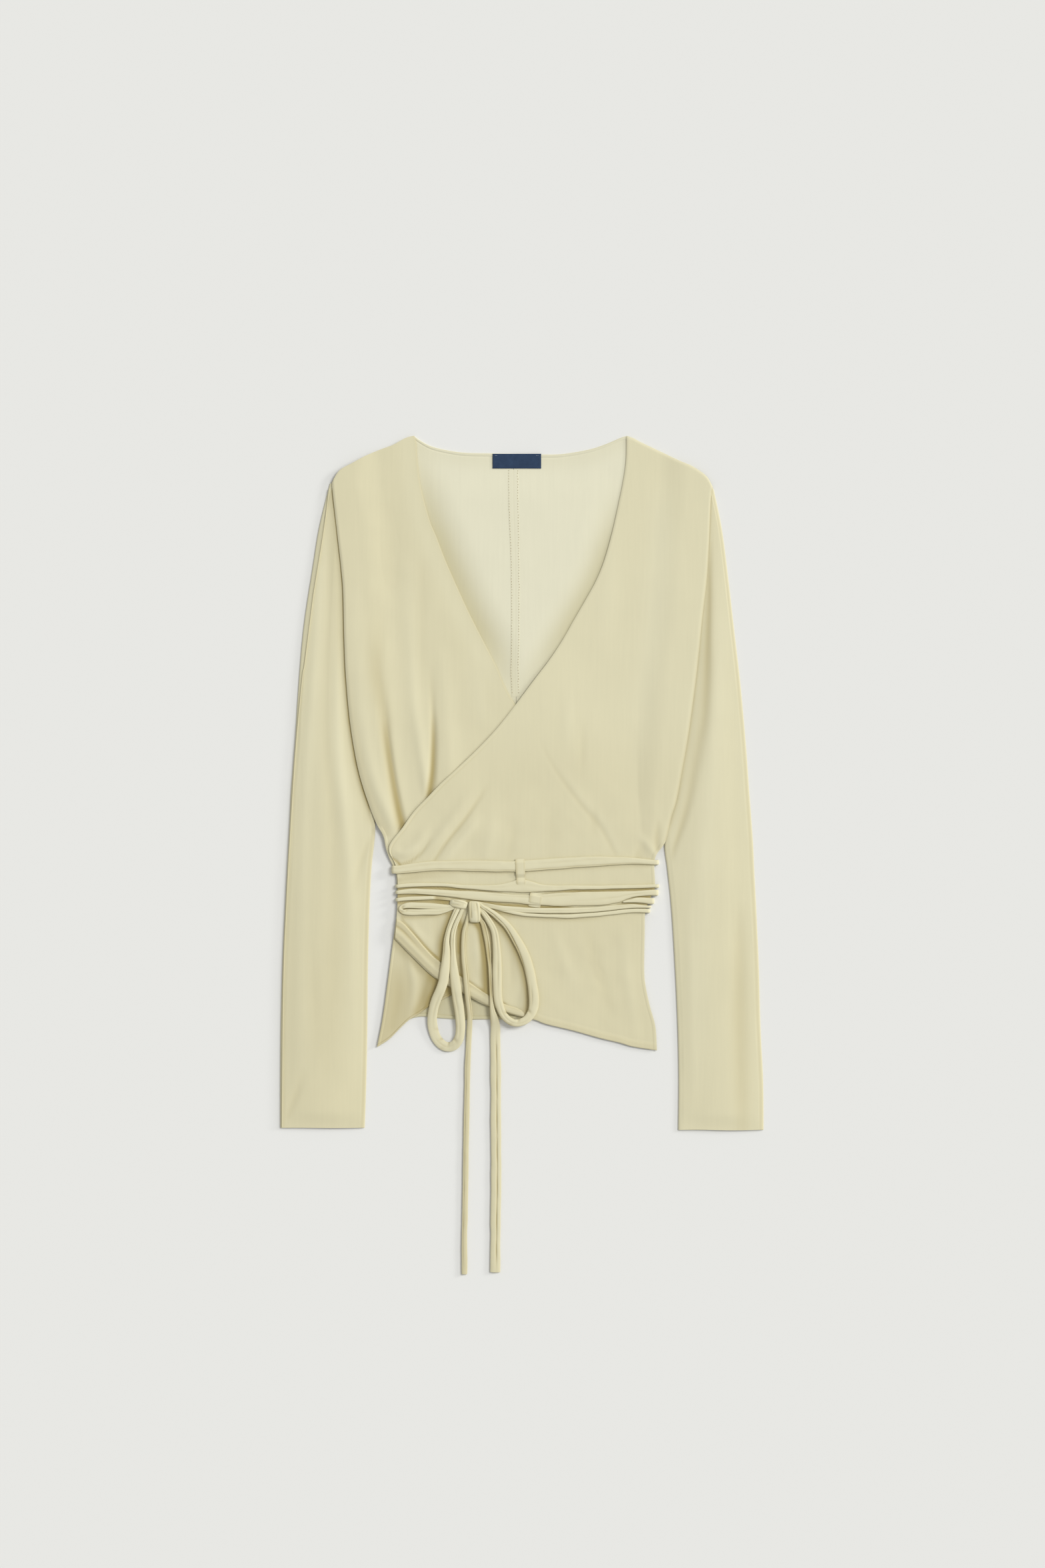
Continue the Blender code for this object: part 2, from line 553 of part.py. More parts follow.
def belt_loop(name, sizes, collection, surface):
    """A narrow loop sewn to the front, standing over a strand of the tie."""
    x, top, bottom, width = sizes
    over = ON_FRONTS + TIE_THICK + SEAM + BELT_LOOP_WALL / 2
    low = ON_FRONTS + BELT_LOOP_WALL
    bend = over - BELT_LOOP_WALL
    profile = [(top, low), (top - BELT_LOOP_RISE, bend), (top - BELT_LOOP_SHOULDER, over),
               (bottom + BELT_LOOP_SHOULDER, over), (bottom + BELT_LOOP_RISE, bend), (bottom, low)]
    rows = [(x, y, z, width, BELT_LOOP_WALL) for y, z in profile]
    return strand(name, rows, BELT_LOOP_STEPS, collection, surface)


def main():
    for old in list(bpy.data.objects):
        bpy.data.objects.remove(old, do_unlink=True)
    collection = bpy.data.collections.new("wrap_top")
    bpy.context.scene.collection.children.link(collection)
    cloth = material("jersey", CLOTH_COLOUR, 0.9)
    inside = material("jersey_inside", INSIDE_COLOUR, 0.9)
    label_cloth = material("woven_label", LABEL_COLOUR, 0.8)

    # Back, in two halves with a centre seam
    centre = curve_through(CENTRE_SEAM)
    shoulder_left = [(x, y - BACK_SHOULDER_INSET) for x, y in SHOULDER_LEFT[1:]]
    shoulder_right = [(x, y - BACK_SHOULDER_INSET) for x, y in SHOULDER_RIGHT[:-2]]
    side_left = [(row[2] + ARMHOLE_GAP, row[0]) for row in smooth_table(SLEEVE_LEFT)
                 if ARMHOLE_BOTTOM < row[0] < ARMHOLE_TOP]
    side_right = [(row[2] - ARMHOLE_GAP, row[0]) for row in smooth_table(SLEEVE_RIGHT)
                  if ARMHOLE_BOTTOM < row[0] < ARMHOLE_TOP]
    corner_left = (SLEEVE_LEFT[0][2] + ARMHOLE_GAP, BACK_CORNER_LEFT_Y)
    corner_right = (SLEEVE_RIGHT[0][2] - ARMHOLE_GAP, BACK_CORNER_RIGHT_Y)
    shoulder_left[0] = corner_left
    shoulder_right.append(corner_right)
    panel("back_left", (
        joined(curve_through(shoulder_left), curve_through(BACK_NECK_LEFT)),
        curve_through(BACK_HEM_LEFT),
        curve_through([corner_left] + side_left + BACK_SIDE_LEFT_BELOW),
        lambda share: (centre(share)[0] - SEAM / 2, centre(share)[1]),
    ), back_height, BACK_COLUMNS, BACK_ROWS, collection, inside)
    panel("back_right", (
        joined(curve_through(BACK_NECK_RIGHT), curve_through(shoulder_right)),
        curve_through(BACK_HEM_RIGHT),
        lambda share: (centre(share)[0] + SEAM / 2, centre(share)[1]),
        curve_through([corner_right] + side_right + BACK_SIDE_RIGHT_BELOW),
    ), back_height, BACK_COLUMNS, BACK_ROWS, collection, inside)

    # Fronts, the left under the right
    panel("front_left", (
        curve_through(SHOULDER_LEFT), curve_through(HEM_LEFT), curve_through(SIDE_LEFT),
        curve_through(NECK_LEFT),
    ), under_front_height, PANEL_COLUMNS, PANEL_ROWS, collection, cloth)
    panel("front_right", (
        curve_through(SHOULDER_RIGHT), curve_through(HEM_RIGHT), curve_through(NECK_RIGHT),
        curve_through(SIDE_RIGHT),
    ), over_front_height, PANEL_COLUMNS, PANEL_ROWS, collection, cloth)

    # Sleeves
    sleeve("sleeve_left", SLEEVE_LEFT, collection, cloth)
    sleeve("sleeve_right", SLEEVE_RIGHT, collection, cloth)

    # Tie round the waist, its loops, knot and bow
    waist_strand("tie_upper", TIE_UPPER, True, True, collection, cloth)
    waist_strand("tie_middle", TIE_MIDDLE, True, True, collection, cloth)
    waist_strand("tie_lower", TIE_LOWER, True, True, collection, cloth)
    waist_strand("tie_split", TIE_SPLIT, False, True, collection, cloth)
    waist_strand("tie_right_upper", STRAND_RIGHT_UPPER, False, True, collection, cloth)
    waist_strand("tie_right_lower", STRAND_RIGHT_LOWER, False, True, collection, cloth)
    waist_strand("tie_left", STRAND_LEFT, True, False, collection, cloth)
    turn = [(x, y, ON_FRONTS + TIE_THICK / 2, width, TIE_THICK) for x, y, width in TURN_LEFT]
    strand("tie_turn", turn, 2 * TIE_STEPS, collection, cloth)
    belt_loop("belt_loop_upper", BELT_LOOP_UPPER, collection, cloth)
    belt_loop("belt_loop_lower", BELT_LOOP_LOWER, collection, cloth)
    edge = [(x, y, ON_FRONTS + EDGE_BAND_THICK / 2, width, EDGE_BAND_THICK) for x, y, width in EDGE_BAND]
    strand("front_edge_band", edge, TIE_STEPS, collection, cloth)
    for name, rows in (("knot_wrap", KNOT_WRAP), ("knot_band", KNOT_BAND)):
        route = [(x, y, under + thick / 2, width, thick) for x, y, under, width, thick in rows]
        strand(name, route, KNOT_STEPS, collection, cloth)
    for name, rows, steps in (("bow_loop_left", BOW_LOOP_LEFT, LOOP_STEPS),
                              ("bow_loop_right", BOW_LOOP_RIGHT, LOOP_STEPS),
                              ("tie_end_left", TIE_END_LEFT, END_STEPS),
                              ("tie_end_right", TIE_END_RIGHT, END_STEPS)):
        route = [(x, y, under + BOW_THICK / 2, width, BOW_THICK) for x, y, under, width in rows]
        strand(name, route, steps, collection, cloth)

    # Neck label on the inside of the back
    label = bmesh.new()
    bmesh.ops.create_cube(label, size=1.0)
    for vertex in label.verts:
        vertex.co = (LABEL_X[vertex.co.x > 0], LABEL_Y[vertex.co.y < 0],
                     ON_BACK + LABEL_THICK * (vertex.co.z > 0))
    add_object("neck_label", label, collection, label_cloth)


main()
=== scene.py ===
"""The looks of a wrap top in fine jersey, laid flat with its waist ties in a bow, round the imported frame.

Lengths are in millimetres until a mesh is made, and MM turns them into Blender's metres. +X is to the
viewer's right, +Y towards the neck and +Z up off the surface. Left and right are the viewer's.
"""
import math

import bpy
import numpy as np
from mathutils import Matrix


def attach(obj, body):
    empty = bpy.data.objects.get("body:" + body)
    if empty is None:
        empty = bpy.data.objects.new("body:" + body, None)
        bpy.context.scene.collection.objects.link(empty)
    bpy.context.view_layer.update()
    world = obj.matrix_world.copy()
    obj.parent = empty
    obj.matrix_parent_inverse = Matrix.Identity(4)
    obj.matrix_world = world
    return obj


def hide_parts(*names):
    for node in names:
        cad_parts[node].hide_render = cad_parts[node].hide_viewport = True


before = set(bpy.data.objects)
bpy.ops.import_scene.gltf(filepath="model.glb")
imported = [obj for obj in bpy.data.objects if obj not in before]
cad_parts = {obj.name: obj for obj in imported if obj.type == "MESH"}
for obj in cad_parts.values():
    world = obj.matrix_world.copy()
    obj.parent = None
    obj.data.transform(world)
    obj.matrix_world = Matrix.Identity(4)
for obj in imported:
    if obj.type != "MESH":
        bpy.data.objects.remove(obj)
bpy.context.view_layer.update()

MM = 0.001

# Cloth and layers
CLOTH = 0.6             # thickness of the jersey
WALL = 1.0              # thickness that the frame gives each wall
SEAM = 0.3
SLEEVE_THICK = 2.8
SLEEVE_CROWN = 1.4
TIE_STRIP = 1.7         # as seen, within the frame's thickness
BOW_STRIP = 2.4
ON_BACK = WALL + SEAM
ON_SLEEVE = SLEEVE_THICK + SEAM
LAYER = WALL + SEAM
FRONTS_TOP = ON_BACK + LAYER + WALL
ON_FRONTS = FRONTS_TOP + SEAM
LIFT_NEAR = 11.0        # a front stays up on the sleeve this far past the sleeve's inner edge
LIFT_FAR = 38.0
CROTCH_LEFT = -41.0
CROTCH_RIGHT = -55.0
COVER_NEAR = 20.0       # the over front stays up this far past the under front's edge
COVER_FAR = 42.0
COVER_SOFT = 88.0       # but comes down softly, further on, past its neck edge
FLAP_TOP = -76.0
ARMHOLE_GAP = 1.1
HEM_WIDTH = 3.0         # turned edges
HEM_RISE = 0.32
HEM_GROOVE = 0.22
FOLD_RADIUS = 3.0       # how far in from a folded edge the cloth rounds down
FOLD_DROP = 0.9

# Outlines, each a list of (x, y)
SHOULDER_LEFT = [(-178, 282), (-171, 293), (-158, 300.5), (-146, 307), (-133, 312.5), (-121, 317),
                 (-109, 323.5), (-101, 325.5)]
SHOULDER_RIGHT = [(98, 325.5), (104, 323.5), (110.5, 320), (123, 314), (135.5, 308), (148, 302),
                  (160.5, 296.5), (173, 287.5), (179, 277)]
SIDE_LEFT = [(-178, 282), (-177.5, 273), (-173, 233), (-169.7, 204), (-167.6, 179), (-166.6, 136),
             (-165, 100), (-161.2, 58), (-155, 20), (-148.2, -6), (-137.5, -35.5), (-130, -49.5),
             (-127.5, -61), (-124.5, -70), (-121.2, -77), (-117.8, -86), (-117, -112), (-118, -127),
             (-121.5, -153), (-124, -172), (-126.5, -191), (-129, -209.5), (-132, -228), (-136, -247.5)]
SIDE_RIGHT = [(179, 277), (177, 265.5), (175, 219), (172.8, 187), (168.9, 153), (164.6, 111), (160.5, 78),
              (155.2, 40.5), (149.8, 10), (144.9, -15.8), (140, -32), (134.5, -54.5), (126, -67),
              (124, -77), (124.5, -98), (120, -108), (115.5, -121), (115, -141), (114.5, -175), (116, -191),
              (120, -209.5), (125, -228), (126.5, -250.5)]
NECK_LEFT = [(-101, 325.5), (-99, 319), (-98, 305), (-95, 279), (-86.7, 247), (-80.2, 231), (-70.5, 206),
             (-51.2, 163), (-35.1, 131.2), (-24.5, 110.5), (-8.5, 77), (25, 35.5), (51, -8.5), (76.5, -45),
             (118, -76), (122.5, -84), (119, -106)]
NECK_RIGHT = [(98, 325.5), (97.5, 303), (95, 284), (90, 259.5), (84.4, 234.5), (77, 208.5), (69.2, 189.5),
              (59.6, 172), (48.7, 153.2), (37.6, 133.7), (25, 114.7), (11.2, 96.6), (-4.6, 75.5),
              (-17, 59.5), (-28, 46.5), (-45, 29), (-63, 12), (-76, 0), (-88, -12.5), (-101.5, -26.5),
              (-112, -41.5), (-125, -60), (-119, -76), (-116.5, -90), (-116.5, -112), (-119, -146)]
HEM_LEFT = [(-136, -247.5), (-124.5, -240), (-114.5, -230), (-106, -222), (-97, -216.5), (-86, -208.5),
            (-76, -204), (-65, -198), (29, -150), (119, -106)]
HEM_RIGHT = [(-119, -146), (-101, -164.5), (-79.5, -184), (-50, -200), (-31, -209.5), (-12, -216),
             (1, -219.5), (12.5, -222), (23, -226), (48, -232), (73, -239), (92, -243.5), (104, -247),
             (126.5, -250.5)]
BACK_NECK_LEFT = [(-101, 325.5), (-96, 321.5), (-84.5, 315.5), (-67.5, 311.5), (-51.5, 309.5), (-27.5, 309),
                  (-8, 308.5)]
BACK_NECK_RIGHT = [(-8, 308.5), (18, 308), (38, 308.5), (62, 312.5), (78, 317.5), (92, 323.5), (98, 325.5)]
BACK_HEM_LEFT = [(-131, -239), (-114.5, -226.5), (-97, -219), (-74, -220.5), (-52.5, -221.5), (-4.5, -221)]
BACK_HEM_RIGHT = [(-4.5, -221), (10.5, -221.5), (48, -229), (98, -241), (123, -247)]
CENTRE_SEAM = [(-8, 308.5), (-5.5, 110), (-4.5, -221)]
BACK_SIDE_LEFT_BELOW = [(-128, -52), (-122, -69), (-116, -84), (-115, -112), (-116, -127), (-122, -172),
                        (-131, -239)]
BACK_SIDE_RIGHT_BELOW = [(124.5, -67), (122.5, -77), (122, -98), (118, -108), (113.5, -122), (113, -175),
                         (123, -247)]
BACK_SHOULDER_INSET = 0.5
BACK_CORNER_LEFT_Y = 292.0
BACK_CORNER_RIGHT_Y = 290.0
ARMHOLE_TOP = 270.0
ARMHOLE_BOTTOM = -10.0

SLEEVE_LEFT = [
    # y, outer, inner, fold
    (281, -180, -169.5, -176.5),
    (240, -190, -159.5, -174),
    (203, -196, -156.5, -170),
    (147, -204.5, -154, -167.5),
    (90, -209.5, -152, -166.5),
    (34, -213, -146.5, -159.5),
    (-8, -216.5, -141.5, -150),
    (-41, -218, -137.5, -137.5),
    (-78, -220, -141, -141),
    (-116, -222, -143, -143),
    (-172, -224.5, -144.5, -144.5),
    (-228, -226, -145, -145),
    (-278, -226.5, -146, -146),
    (-323, -226.5, -147.5, -147.5),
]
SLEEVE_RIGHT = [
    # y, outer, inner, fold
    (276, 179.5, 167, 176.5),
    (240, 187, 162.5, 176),
    (203, 192, 160.5, 174.5),
    (147, 198.5, 156, 169.5),
    (90, 205, 148.5, 162.5),
    (34, 210, 143, 155.5),
    (-8, 213, 137, 147),
    (-55, 216.5, 133.5, 133.5),
    (-78, 217.5, 136, 136),
    (-116, 219.5, 140, 140),
    (-172, 222, 143.5, 143.5),
    (-228, 223.5, 146, 146),
    (-278, 226, 147, 147),
    (-325, 226.5, 146.5, 146.5),
]

# Strands of the tie across the waist: x, middle y and width
TIE_UPPER = [(-117, -81, 7.4), (-82, -77.5, 9), (-44, -77.5, 10), (-6.5, -78, 10), (27, -75.7, 10.2),
             (63, -73.6, 9.4), (99, -72.6, 6.4), (124.5, -74.2, 4.4)]
TIE_MIDDLE = [(-117, -96.5, 3.2), (-104, -95.4, 3.6), (-82, -95.1, 3.2), (-63, -96.2, 3.4), (-44, -97.6, 4),
              (-24.5, -98.2, 6), (-11, -97.2, 9.4), (-1.5, -96.4, 12), (8, -97.2, 10), (19, -98.3, 6.6),
              (37.5, -98, 4.6), (58, -97.6, 3.8), (84, -97.4, 3.4), (124.5, -96.4, 3.2)]
TIE_LOWER = [(-117, -102.2, 3.4), (-104, -101.2, 4.6), (-92, -101.6, 5), (-63, -103.7, 6.6),
             (-44, -105.3, 8), (-24.5, -107.0, 8), (-2, -108.7, 7.8), (18.5, -109.2, 10),
             (37.5, -108.6, 12.4), (68.5, -108, 12.6), (87, -106.9, 10.8), (96, -105.2, 8),
             (104, -103.9, 5.8), (112, -103.1, 5.2), (122.5, -102.6, 5.4)]
TIE_SPLIT = [(95, -111.2, 1.6), (101, -110.4, 2.8), (107, -109.5, 4.4), (113, -109.6, 5),
             (119, -110.4, 5.4)]
STRAND_RIGHT_UPPER = [(-20, -116.8, 4.4), (-2, -118.5, 5.2), (27, -119.4, 5), (58, -118.9, 4.8),
                      (89, -116.4, 4.2), (104, -115.2, 3.6), (117.5, -115.8, 2.2)]
STRAND_RIGHT_LOWER = [(-4, -122.0, 3.0), (6, -123.2, 3.0), (27, -124.3, 3.2), (47, -124.5, 3.6),
                      (79, -122, 3.6), (102, -119.6, 3.6), (115.5, -119.6, 3.8)]
STRAND_LEFT = [(-117, -109.2, 3.4), (-101.5, -107.9, 3.4), (-82, -107.6, 3.1), (-69.5, -108.4, 2.8)]
TURN_LEFT = [(-67, -116.0, 3.4), (-74.5, -116.2, 4.4), (-89.5, -114.9, 5), (-104.5, -114.4, 4.8),
             (-111.4, -115.6, 3.6), (-114.2, -118.0, 3.0), (-111.6, -120.6, 3.6), (-106, -121.0, 4.8),
             (-93, -120.6, 4.8), (-80.5, -120.7, 4.6), (-73, -119.4, 4.0), (-67, -117.6, 3.2)]

# Bow and tie ends: x, y, height of the underside and width
BOW_LOOP_LEFT = [(-62, -120.4, 3.9, 5), (-66.6, -131, 4.0, 4.4), (-69.5, -140, 4.2, 4.6),
                 (-70.8, -149, 4.6, 5.8), (-70.6, -158, 5.0, 7.2), (-71.2, -167, 5.2, 8.0),
                 (-72.2, -176, 5.3, 8.8), (-73.6, -185, 5.3, 9.2), (-76.4, -193.5, 4.9, 9.2),
                 (-80.2, -202.4, 3.6, 9.0), (-83.0, -211.3, 2.6, 9.0), (-84.2, -220.3, 1.8, 9),
                 (-83.4, -229.2, 0.9, 9.2), (-80.6, -238.1, 0.3, 9.2), (-75.2, -244.8, 0.3, 9),
                 (-69.2, -247.2, 0.5, 8.4), (-63, -245.2, 1.4, 8.6), (-58.8, -238.6, 2.4, 8.8),
                 (-57.4, -229.2, 3.2, 9.0), (-57.8, -220.3, 3.6, 9.2), (-58.8, -211.3, 4.0, 9.2),
                 (-60.2, -202.4, 4.3, 9.4), (-61.5, -193.5, 5.2, 9.4), (-62.7, -184.5, 5.3, 9.2),
                 (-63.7, -175.6, 5.2, 8.2), (-64.3, -166.7, 4.9, 6.4), (-64.6, -157.8, 4.5, 4.9),
                 (-64.9, -148.8, 4.2, 4.9), (-64.3, -140, 4.0, 4.7), (-61.5, -131, 3.9, 4.2),
                 (-57.4, -122, 3.9, 3.8)]
BOW_LOOP_RIGHT = [(-32, -127, 3.9, 5.4), (-26, -139, 4.0, 6.4), (-23.7, -156, 4.2, 7.8),
                  (-23.2, -173, 4.5, 8.8), (-23.2, -189.5, 5.0, 8.6), (-21.8, -205, 5.1, 8.0),
                  (-16.6, -218, 5.0, 7.2), (-7.2, -224.4, 4.8, 6.8), (3.4, -221.8, 4.6, 7.4),
                  (10.1, -212.4, 4.2, 8.6), (11, -199, 4.0, 9.2), (8, -180, 3.9, 9.2), (3, -163.3, 3.9, 9),
                  (-4, -148.5, 3.9, 8.4), (-13.3, -134.5, 3.9, 7.2), (-24, -124, 3.9, 5.8),
                  (-32, -118.4, 3.9, 4.6), (-36, -116.2, 3.9, 3.8)]
TIE_END_LEFT = [(-52.2, -131.6, 3.9, 3.4), (-54.2, -141, 3.9, 4.6), (-54.8, -161, 4.4, 5),
                (-52.8, -180, 5.2, 5.2), (-51, -199, 5.3, 5.2), (-49.3, -214, 3.1, 5.2),
                (-49, -225, 1.4, 5.0), (-49.8, -240, 0.3, 5.0), (-51, -266, 0.3, 5.1),
                (-51.6, -301, 0.3, 5.2), (-52.4, -338, 0.3, 5.2), (-53, -374, 0.3, 5.2),
                (-53.8, -420, 0.3, 5.2), (-54, -460, 0.3, 5.2)]
TIE_END_RIGHT = [(-36, -132.6, 3.9, 4.4), (-33.6, -143.5, 3.9, 4.8), (-31.5, -157, 4.0, 4.4),
                 (-30.1, -170.5, 4.4, 3.4), (-29.6, -184, 4.9, 2.8), (-29.2, -197, 5.2, 2.8),
                 (-28.8, -206, 5.3, 3.4), (-27.8, -213, 4.8, 5), (-26.1, -221, 3.0, 7.6),
                 (-25, -229, 1.3, 8.8), (-24.8, -242, 0.3, 9.2), (-24.6, -266, 0.3, 9.4),
                 (-24.5, -301, 0.3, 9.4), (-24.2, -374, 0.3, 9.4), (-24.8, -420, 0.3, 9.2),
                 (-25, -458, 0.3, 9)]
KNOT_WRAP = [(-67, -111.6, 3.9, 4.6, 1.6), (-65, -112, 3.9, 7.2, 3.4), (-60, -113, 3.9, 8.8, 4.6),
             (-55, -114, 3.9, 8.6, 4.4), (-52, -114.8, 3.9, 6.6, 3.2)]
KNOT_BAND = [(-45, -110.9, 3.9, 8.6, 1.8), (-45, -112.6, 3.9, 11, 4.2), (-44.6, -118, 3.9, 12, 5.4),
             (-44.4, -124, 3.9, 12, 5.2), (-44.3, -128.6, 3.9, 10.6, 4), (-44.3, -130, 3.9, 8, 1.8)]
BELT_LOOP_UPPER = (-1.5, -71.2, -89.2, 8.6)
BELT_LOOP_LOWER = (12.5, -103.0, -115.6, 11.4)
BELT_LOOP_STRIP = 0.45
LABEL_X = (-27.5, 18.0)
LABEL_Y = (308.7, 294.9)
LABEL_THICK = 0.7
TURN_RADIUS = 2.0
TURN_OUT_LEFT = 0.6
TURN_OUT_RIGHT = 3.2
LEAST_PLAN_STEP = 0.2
STRIP_LUMPS = 0.10
COURSE_RIPPLE = 0.22
# Painted shade in a strip's creases, and the most painted shade that a point of cloth takes
SHADE_PER_DEPTH = 1.15     # how much deeper a strip's colour gets for each millimetre of crease
MOST_SHADE = 1.5
LEAST_RELIEF = -0.36     # a trough stops where the cloth would reach what lies under it

# Mesh density
CURVE_STEPS = 14
SMOOTH_ROWS = 80
FINE = 420              # points along an edge before its rows are spaced out
PANEL_STEP = 2.1        # grid spacing inside a front
OVER_STEP = 1.95        # and inside the one with the waist's fine shades
BACK_STEP = 3.0
# and its grid lines at fixed distances from an edge
EDGE_STEPS = (0.0, 0.3, 0.7, 1.2, 1.8, 2.4, 2.8, 3.2, 3.7, 4.6)
SLEEVE_ROWS = 250
SLEEVE_TOP = 56
SECTION = 44


def smooth_step(value, low, high):
    """0 at low, 1 at high, with an eased slope between."""
    share = np.clip((value - low) / (high - low), 0.0, 1.0)
    return share * share * (3.0 - 2.0 * share)


def bell(distance, width):
    """1 on a line, falling off smoothly beside it over about that width."""
    return np.exp(-(distance / width) ** 2)


def lengths_along(points, axes=3):
    """Distance from the first point to each point of a line."""
    steps = np.linalg.norm(np.diff(points[:, :axes], axis=0), axis=1)
    return np.concatenate([[0.0], np.cumsum(steps)])


def resample(points, wanted):
    """Points of a line at the wanted distances along it."""
    along = lengths_along(points)
    return np.stack([np.interp(wanted, along, points[:, axis]) for axis in range(points.shape[1])], axis=1)


def curve(points, count):
    """That many points, evenly spaced along a smooth curve through the given ones."""
    knots = np.array(points, dtype=float)
    before = np.vstack([knots[:1], knots[:-2]])[:, None]
    start = knots[:-1][:, None]
    end = knots[1:][:, None]
    after = np.vstack([knots[2:], knots[-1:]])[:, None]
    t = (np.arange(CURVE_STEPS) / CURVE_STEPS)[None, :, None]
    line = 0.5 * (2 * start + (end - before) * t + (2 * before - 5 * start + 4 * end - after) * t ** 2
                  + (3 * start - before - 3 * end + after) * t ** 3)
    line = np.vstack([line.reshape(-1, knots.shape[1]), knots[-1:]])
    return resample(line, np.linspace(0.0, lengths_along(line)[-1], count))


def read(table, key, column):
    """A column of a table whose first column falls from row to row."""
    rows = np.asarray(table, dtype=float)[::-1]
    return np.interp(key, rows[:, 0], rows[:, column])


def by_y(edge):
    """An edge as a table of y and x."""
    return [(y, x) for x, y in edge]


def path_distance(x, y, path):
    """Distance from a path of (x, y) points."""
    best = np.full(x.shape, 1e9)
    for start, end in zip(path[:-1], path[1:]):
        run = end - start
        t = np.clip(((x - start[0]) * run[0] + (y - start[1]) * run[1]) / (run @ run), 0.0, 1.0)
        best = np.minimum(best, np.hypot(x - start[0] - t * run[0], y - start[1] - t * run[1]))
    return best


def fold_relief(x, y, folds):
    """Height that soft ridges and troughs add, and their tone: painted shade, or painted highlight where it
    is negative.

    Each fold is (rows, steep): rows of x, y, half width, height and tone along it, and what multiplies the
    half width on the viewer's left when the rows run down the page.
    """
    height = np.zeros(x.shape)
    tone = np.zeros(x.shape)
    for rows, steep in folds:
        line = curve(rows, 26)
        best = np.full(x.shape, 1e9)
        side = np.zeros(x.shape)
        values = np.zeros(x.shape + (3,))
        for start, end in zip(line[:-1], line[1:]):
            run = end[:2] - start[:2]
            t = np.clip(((x - start[0]) * run[0] + (y - start[1]) * run[1]) / (run @ run), 0.0, 1.0)
            away = np.hypot(x - start[0] - t * run[0], y - start[1] - t * run[1])
            nearer = away < best
            best = np.where(nearer, away, best)
            side = np.where(nearer, (x - start[0]) * run[1] - (y - start[1]) * run[0], side)
            values = np.where(nearer[..., None], start[2:] + t[..., None] * (end - start)[2:], values)
        shape = bell(best, values[..., 0] * np.where(side > 0, steep, 1.0))
        height += shape * values[..., 1]
        tone += shape * values[..., 2]
    return height, tone


def unevenness(x, y, size, seed):
    """Smooth seeded noise from -1 to 1, with lumps of about that size."""
    lattice = np.random.default_rng(seed).uniform(-1.0, 1.0, (160, 160))
    u = (x + 500.0) / size
    v = (y + 500.0) / size
    column = np.floor(u).astype(int)
    row = np.floor(v).astype(int)
    s = u - column
    t = v - row
    s = s * s * (3 - 2 * s)
    t = t * t * (3 - 2 * t)
    corner = lattice[row % 160, column % 160]
    right = lattice[row % 160, (column + 1) % 160]
    above = lattice[(row + 1) % 160, column % 160]
    far = lattice[(row + 1) % 160, (column + 1) % 160]
    return (corner * (1 - s) + right * s) * (1 - t) + (above * (1 - s) + far * s) * t


def hem(distance, width=HEM_WIDTH, rise=HEM_RISE):
    """Height that a turned and sewn edge adds: a band that ends in a sewn groove."""
    band = 1.0 - smooth_step(distance, width - 0.3, width + 0.5)
    lip = np.sqrt(np.clip(distance / 0.9, 0.0, 1.0))
    groove = HEM_GROOVE * bell(distance - width - 0.2, 0.5)
    return rise * band * lip - 0.5 * (1.0 - lip) * rise - groove


def folded(distance, radius=FOLD_RADIUS, drop=FOLD_DROP):
    """How far a folded edge rounds down."""
    return -drop * (1.0 - np.clip(distance / radius, 0.0, 1.0)) ** 2


# Materials

WALE = 0.62             # width of one knitted column
COURSE = 0.75           # height of one loop, as a share of its width
WAVE_TURN = 6.2832 / 2.0   # the wave texture's scale, times the width of one band


def new_material(name, inputs):
    """A material with its shader's own inputs set, its nodes, its shader and the piece's own coordinates."""
    made = bpy.data.materials.new(name)
    made.use_nodes = True
    tree = made.node_tree
    shader = tree.nodes["Principled BSDF"]
    for key, value in inputs.items():
        shader.inputs[key].default_value = value
    return made, tree, shader, tree.nodes.new("ShaderNodeTexCoord").outputs["Object"]


def added(tree, kind, links=(), inputs=(), **settings):
    """A new node with its settings, the values of its inputs, and the links into it."""
    made = tree.nodes.new("ShaderNode" + kind)
    for key, value in settings.items():
        setattr(made, key, value)
    for key, value in dict(inputs).items():
        made.inputs[key].default_value = value
    for key, source in dict(links).items():
        tree.links.new(source, made.inputs[key])
    return made


def bands(tree, place, direction, scale, distortion=0.0, detail_scale=1.0):
    """Soft parallel bands across one axis."""
    values = {"Scale": scale, "Distortion": distortion, "Detail Scale": detail_scale}
    made = added(tree, "TexWave", {"Vector": place}, values, wave_type="BANDS", bands_direction=direction)
    return made.outputs["Fac"]


def noise(tree, place, scale, detail=2.0):
    """Cloudy noise."""
    return added(tree, "TexNoise", {"Vector": place}, {"Scale": scale, "Detail": detail}).outputs["Fac"]


def worked_out(tree, operation, *values):
    """The result of a sum on sockets and numbers."""
    made = added(tree, "Math", operation=operation)
    for slot, value in zip(made.inputs, values):
        if isinstance(value, float):
            slot.default_value = value
        else:
            tree.links.new(value, slot)
    return made.outputs[0]


def in_range(tree, value, low, high, start=0.0, end=1.0):
    """A value brought into another range."""
    values = {"From Min": start, "From Max": end, "To Min": low, "To Max": high}
    return added(tree, "MapRange", {"Value": value}, values).outputs["Result"]


def raise_surface(tree, shader, height, strength, distance):
    """Fine relief on the shader's normal."""
    raised = added(tree, "Bump", {"Height": height}, {"Strength": strength, "Distance": distance * MM})
    tree.links.new(raised.outputs["Normal"], shader.inputs["Normal"])


def colour_by(tree, shader, value, low, high):
    """A base colour that goes from one to the other with a value."""
    ramp = added(tree, "ValToRGB", {"Fac": value})
    ramp.color_ramp.elements[0].color = (*low, 1.0)
    ramp.color_ramp.elements[1].color = (*high, 1.0)
    tree.links.new(ramp.outputs["Color"], shader.inputs["Base Color"])


